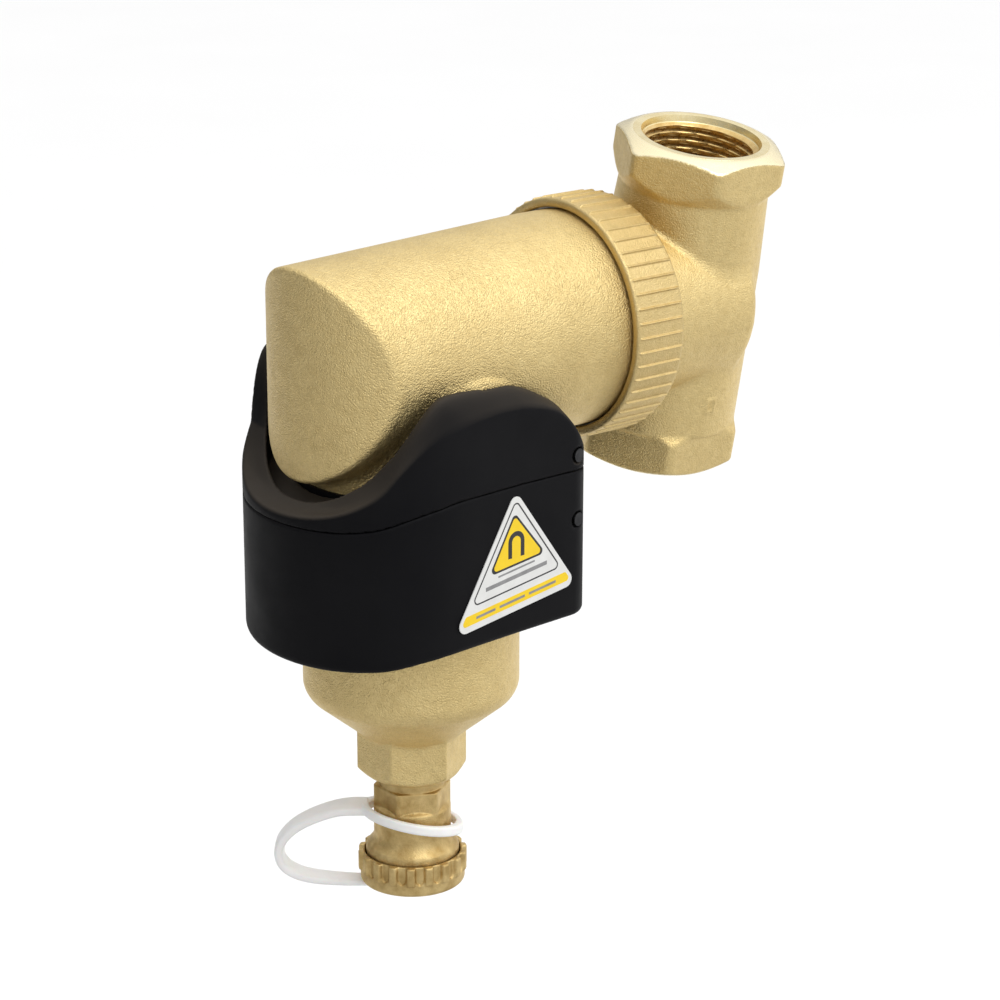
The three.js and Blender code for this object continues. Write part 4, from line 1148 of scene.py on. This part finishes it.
def slab(name, points, shade, specks, spread):
    """A dull stage panel from its four under points and its four upper ones, mottled by spread."""
    faces = [(3, 2, 1, 0), (4, 5, 6, 7), (0, 1, 5, 4), (1, 2, 6, 5), (2, 3, 7, 6), (3, 0, 4, 7)]
    piece = crisp(mesh_object(name, points, faces))
    m = Nodes(name, (shade,) * 3, 0.9, specular=0.1)
    m.mottle(m.noise(specks, 2, 0.5), (shade - spread,) * 3, (shade + spread,) * 3)
    piece.data.materials.append(m.material)


def backdrop():
    """A plain pale sheet that runs under the object, as a floor."""
    half, thick = 6000.0, 20.0
    points = [(a * half, b * half, z) for z in (FLOOR_Z - thick, FLOOR_Z) for a, b in SQUARE]
    slab("floor", points, 0.93, 220, 0.005)


def key_light():
    light = bpy.data.lights.new("key", "AREA")
    light.shape = "RECTANGLE"
    light.size = light.size_y = KEY_SIZE_M
    light.energy = KEY_POWER
    lamp = bpy.data.objects.new("key", light)
    lamp.location = KEY_PLACE_M
    aim = Vector((0, -0.06, -0.05)) - lamp.location
    lamp.rotation_euler = aim.to_track_quat("-Z", "Y").to_euler()
    bpy.context.scene.collection.objects.link(lamp)


def soft_world():
    """A soft room, bright above the camera's right shoulder and dim on the far left."""
    world = bpy.data.worlds.new("studio")
    bpy.context.scene.world = world
    world.use_nodes = True
    tree = world.node_tree
    where = tree.nodes.new("ShaderNodeTexCoord").outputs["Generated"]
    toward = add_node(tree, "VectorMath", "Value", {0: where, 1: Vector(ROOM_LIGHT_FROM).normalized()},
                      operation="DOT_PRODUCT")
    level = add_node(tree, "MapRange", "Result", {"Value": toward, "From Min": -0.35, "From Max": 0.95,
                                                  "To Min": ROOM_DIM, "To Max": ROOM_BRIGHT})
    sky = tree.nodes["Background"]
    sky.inputs["Color"].default_value = (1, 1, 1, 1)
    tree.links.new(level, sky.inputs["Strength"])


def dark_card(name, centre, facing, width, height, shade):
    """A dull dark panel beside the object, out of the picture, that the metal reflects."""
    facing = Vector(facing).normalized()
    view_right = Vector((math.cos(VIEW_AZIMUTH), math.sin(VIEW_AZIMUTH), 0))
    side = view_right if facing.z > 0.9 else Vector((0, 0, 1)).cross(facing).normalized()
    up = facing.cross(side)
    points = [Vector(centre) + side * (a * width / 2) + up * (b * height / 2) + facing * lift
              for lift in (-CARD_HALF_THICK, CARD_HALF_THICK) for a, b in SQUARE]
    slab(name, points, shade, 60, 0.02 * shade)


def camera():
    data = bpy.data.cameras.new("camera")
    data.lens = LENS
    data.sensor_width = 36
    data.clip_end = 100
    eye = bpy.data.objects.new("camera", data)
    c, s = math.cos(VIEW_AZIMUTH), math.sin(VIEW_AZIMUTH)
    back = Vector((s * math.cos(VIEW_ELEVATION), -c * math.cos(VIEW_ELEVATION), math.sin(VIEW_ELEVATION)))
    right = Vector((c, s, 0))
    up = back.cross(right)
    rolled = right * math.cos(VIEW_ROLL) + up * math.sin(VIEW_ROLL)
    turned = back.cross(rolled)
    eye.matrix_world = Matrix.Translation(Vector(VIEW_TARGET_M) + back * VIEW_DISTANCE_M) @ Matrix(
        (rolled, turned, back)).transposed().to_4x4()
    bpy.context.scene.collection.objects.link(eye)
    bpy.context.scene.camera = eye


backdrop()
soft_world()
key_light()
dark_card("left_card", (-900, -760, -60), (0.75, 0.62, 0.1), 1700, 1000, 0.22)
dark_card("floor_card", (590, -560, FLOOR_Z + 8), (0, 0, 1), 3000, 1900, 0.53)
camera()
bpy.context.scene.view_settings.view_transform = "Standard"
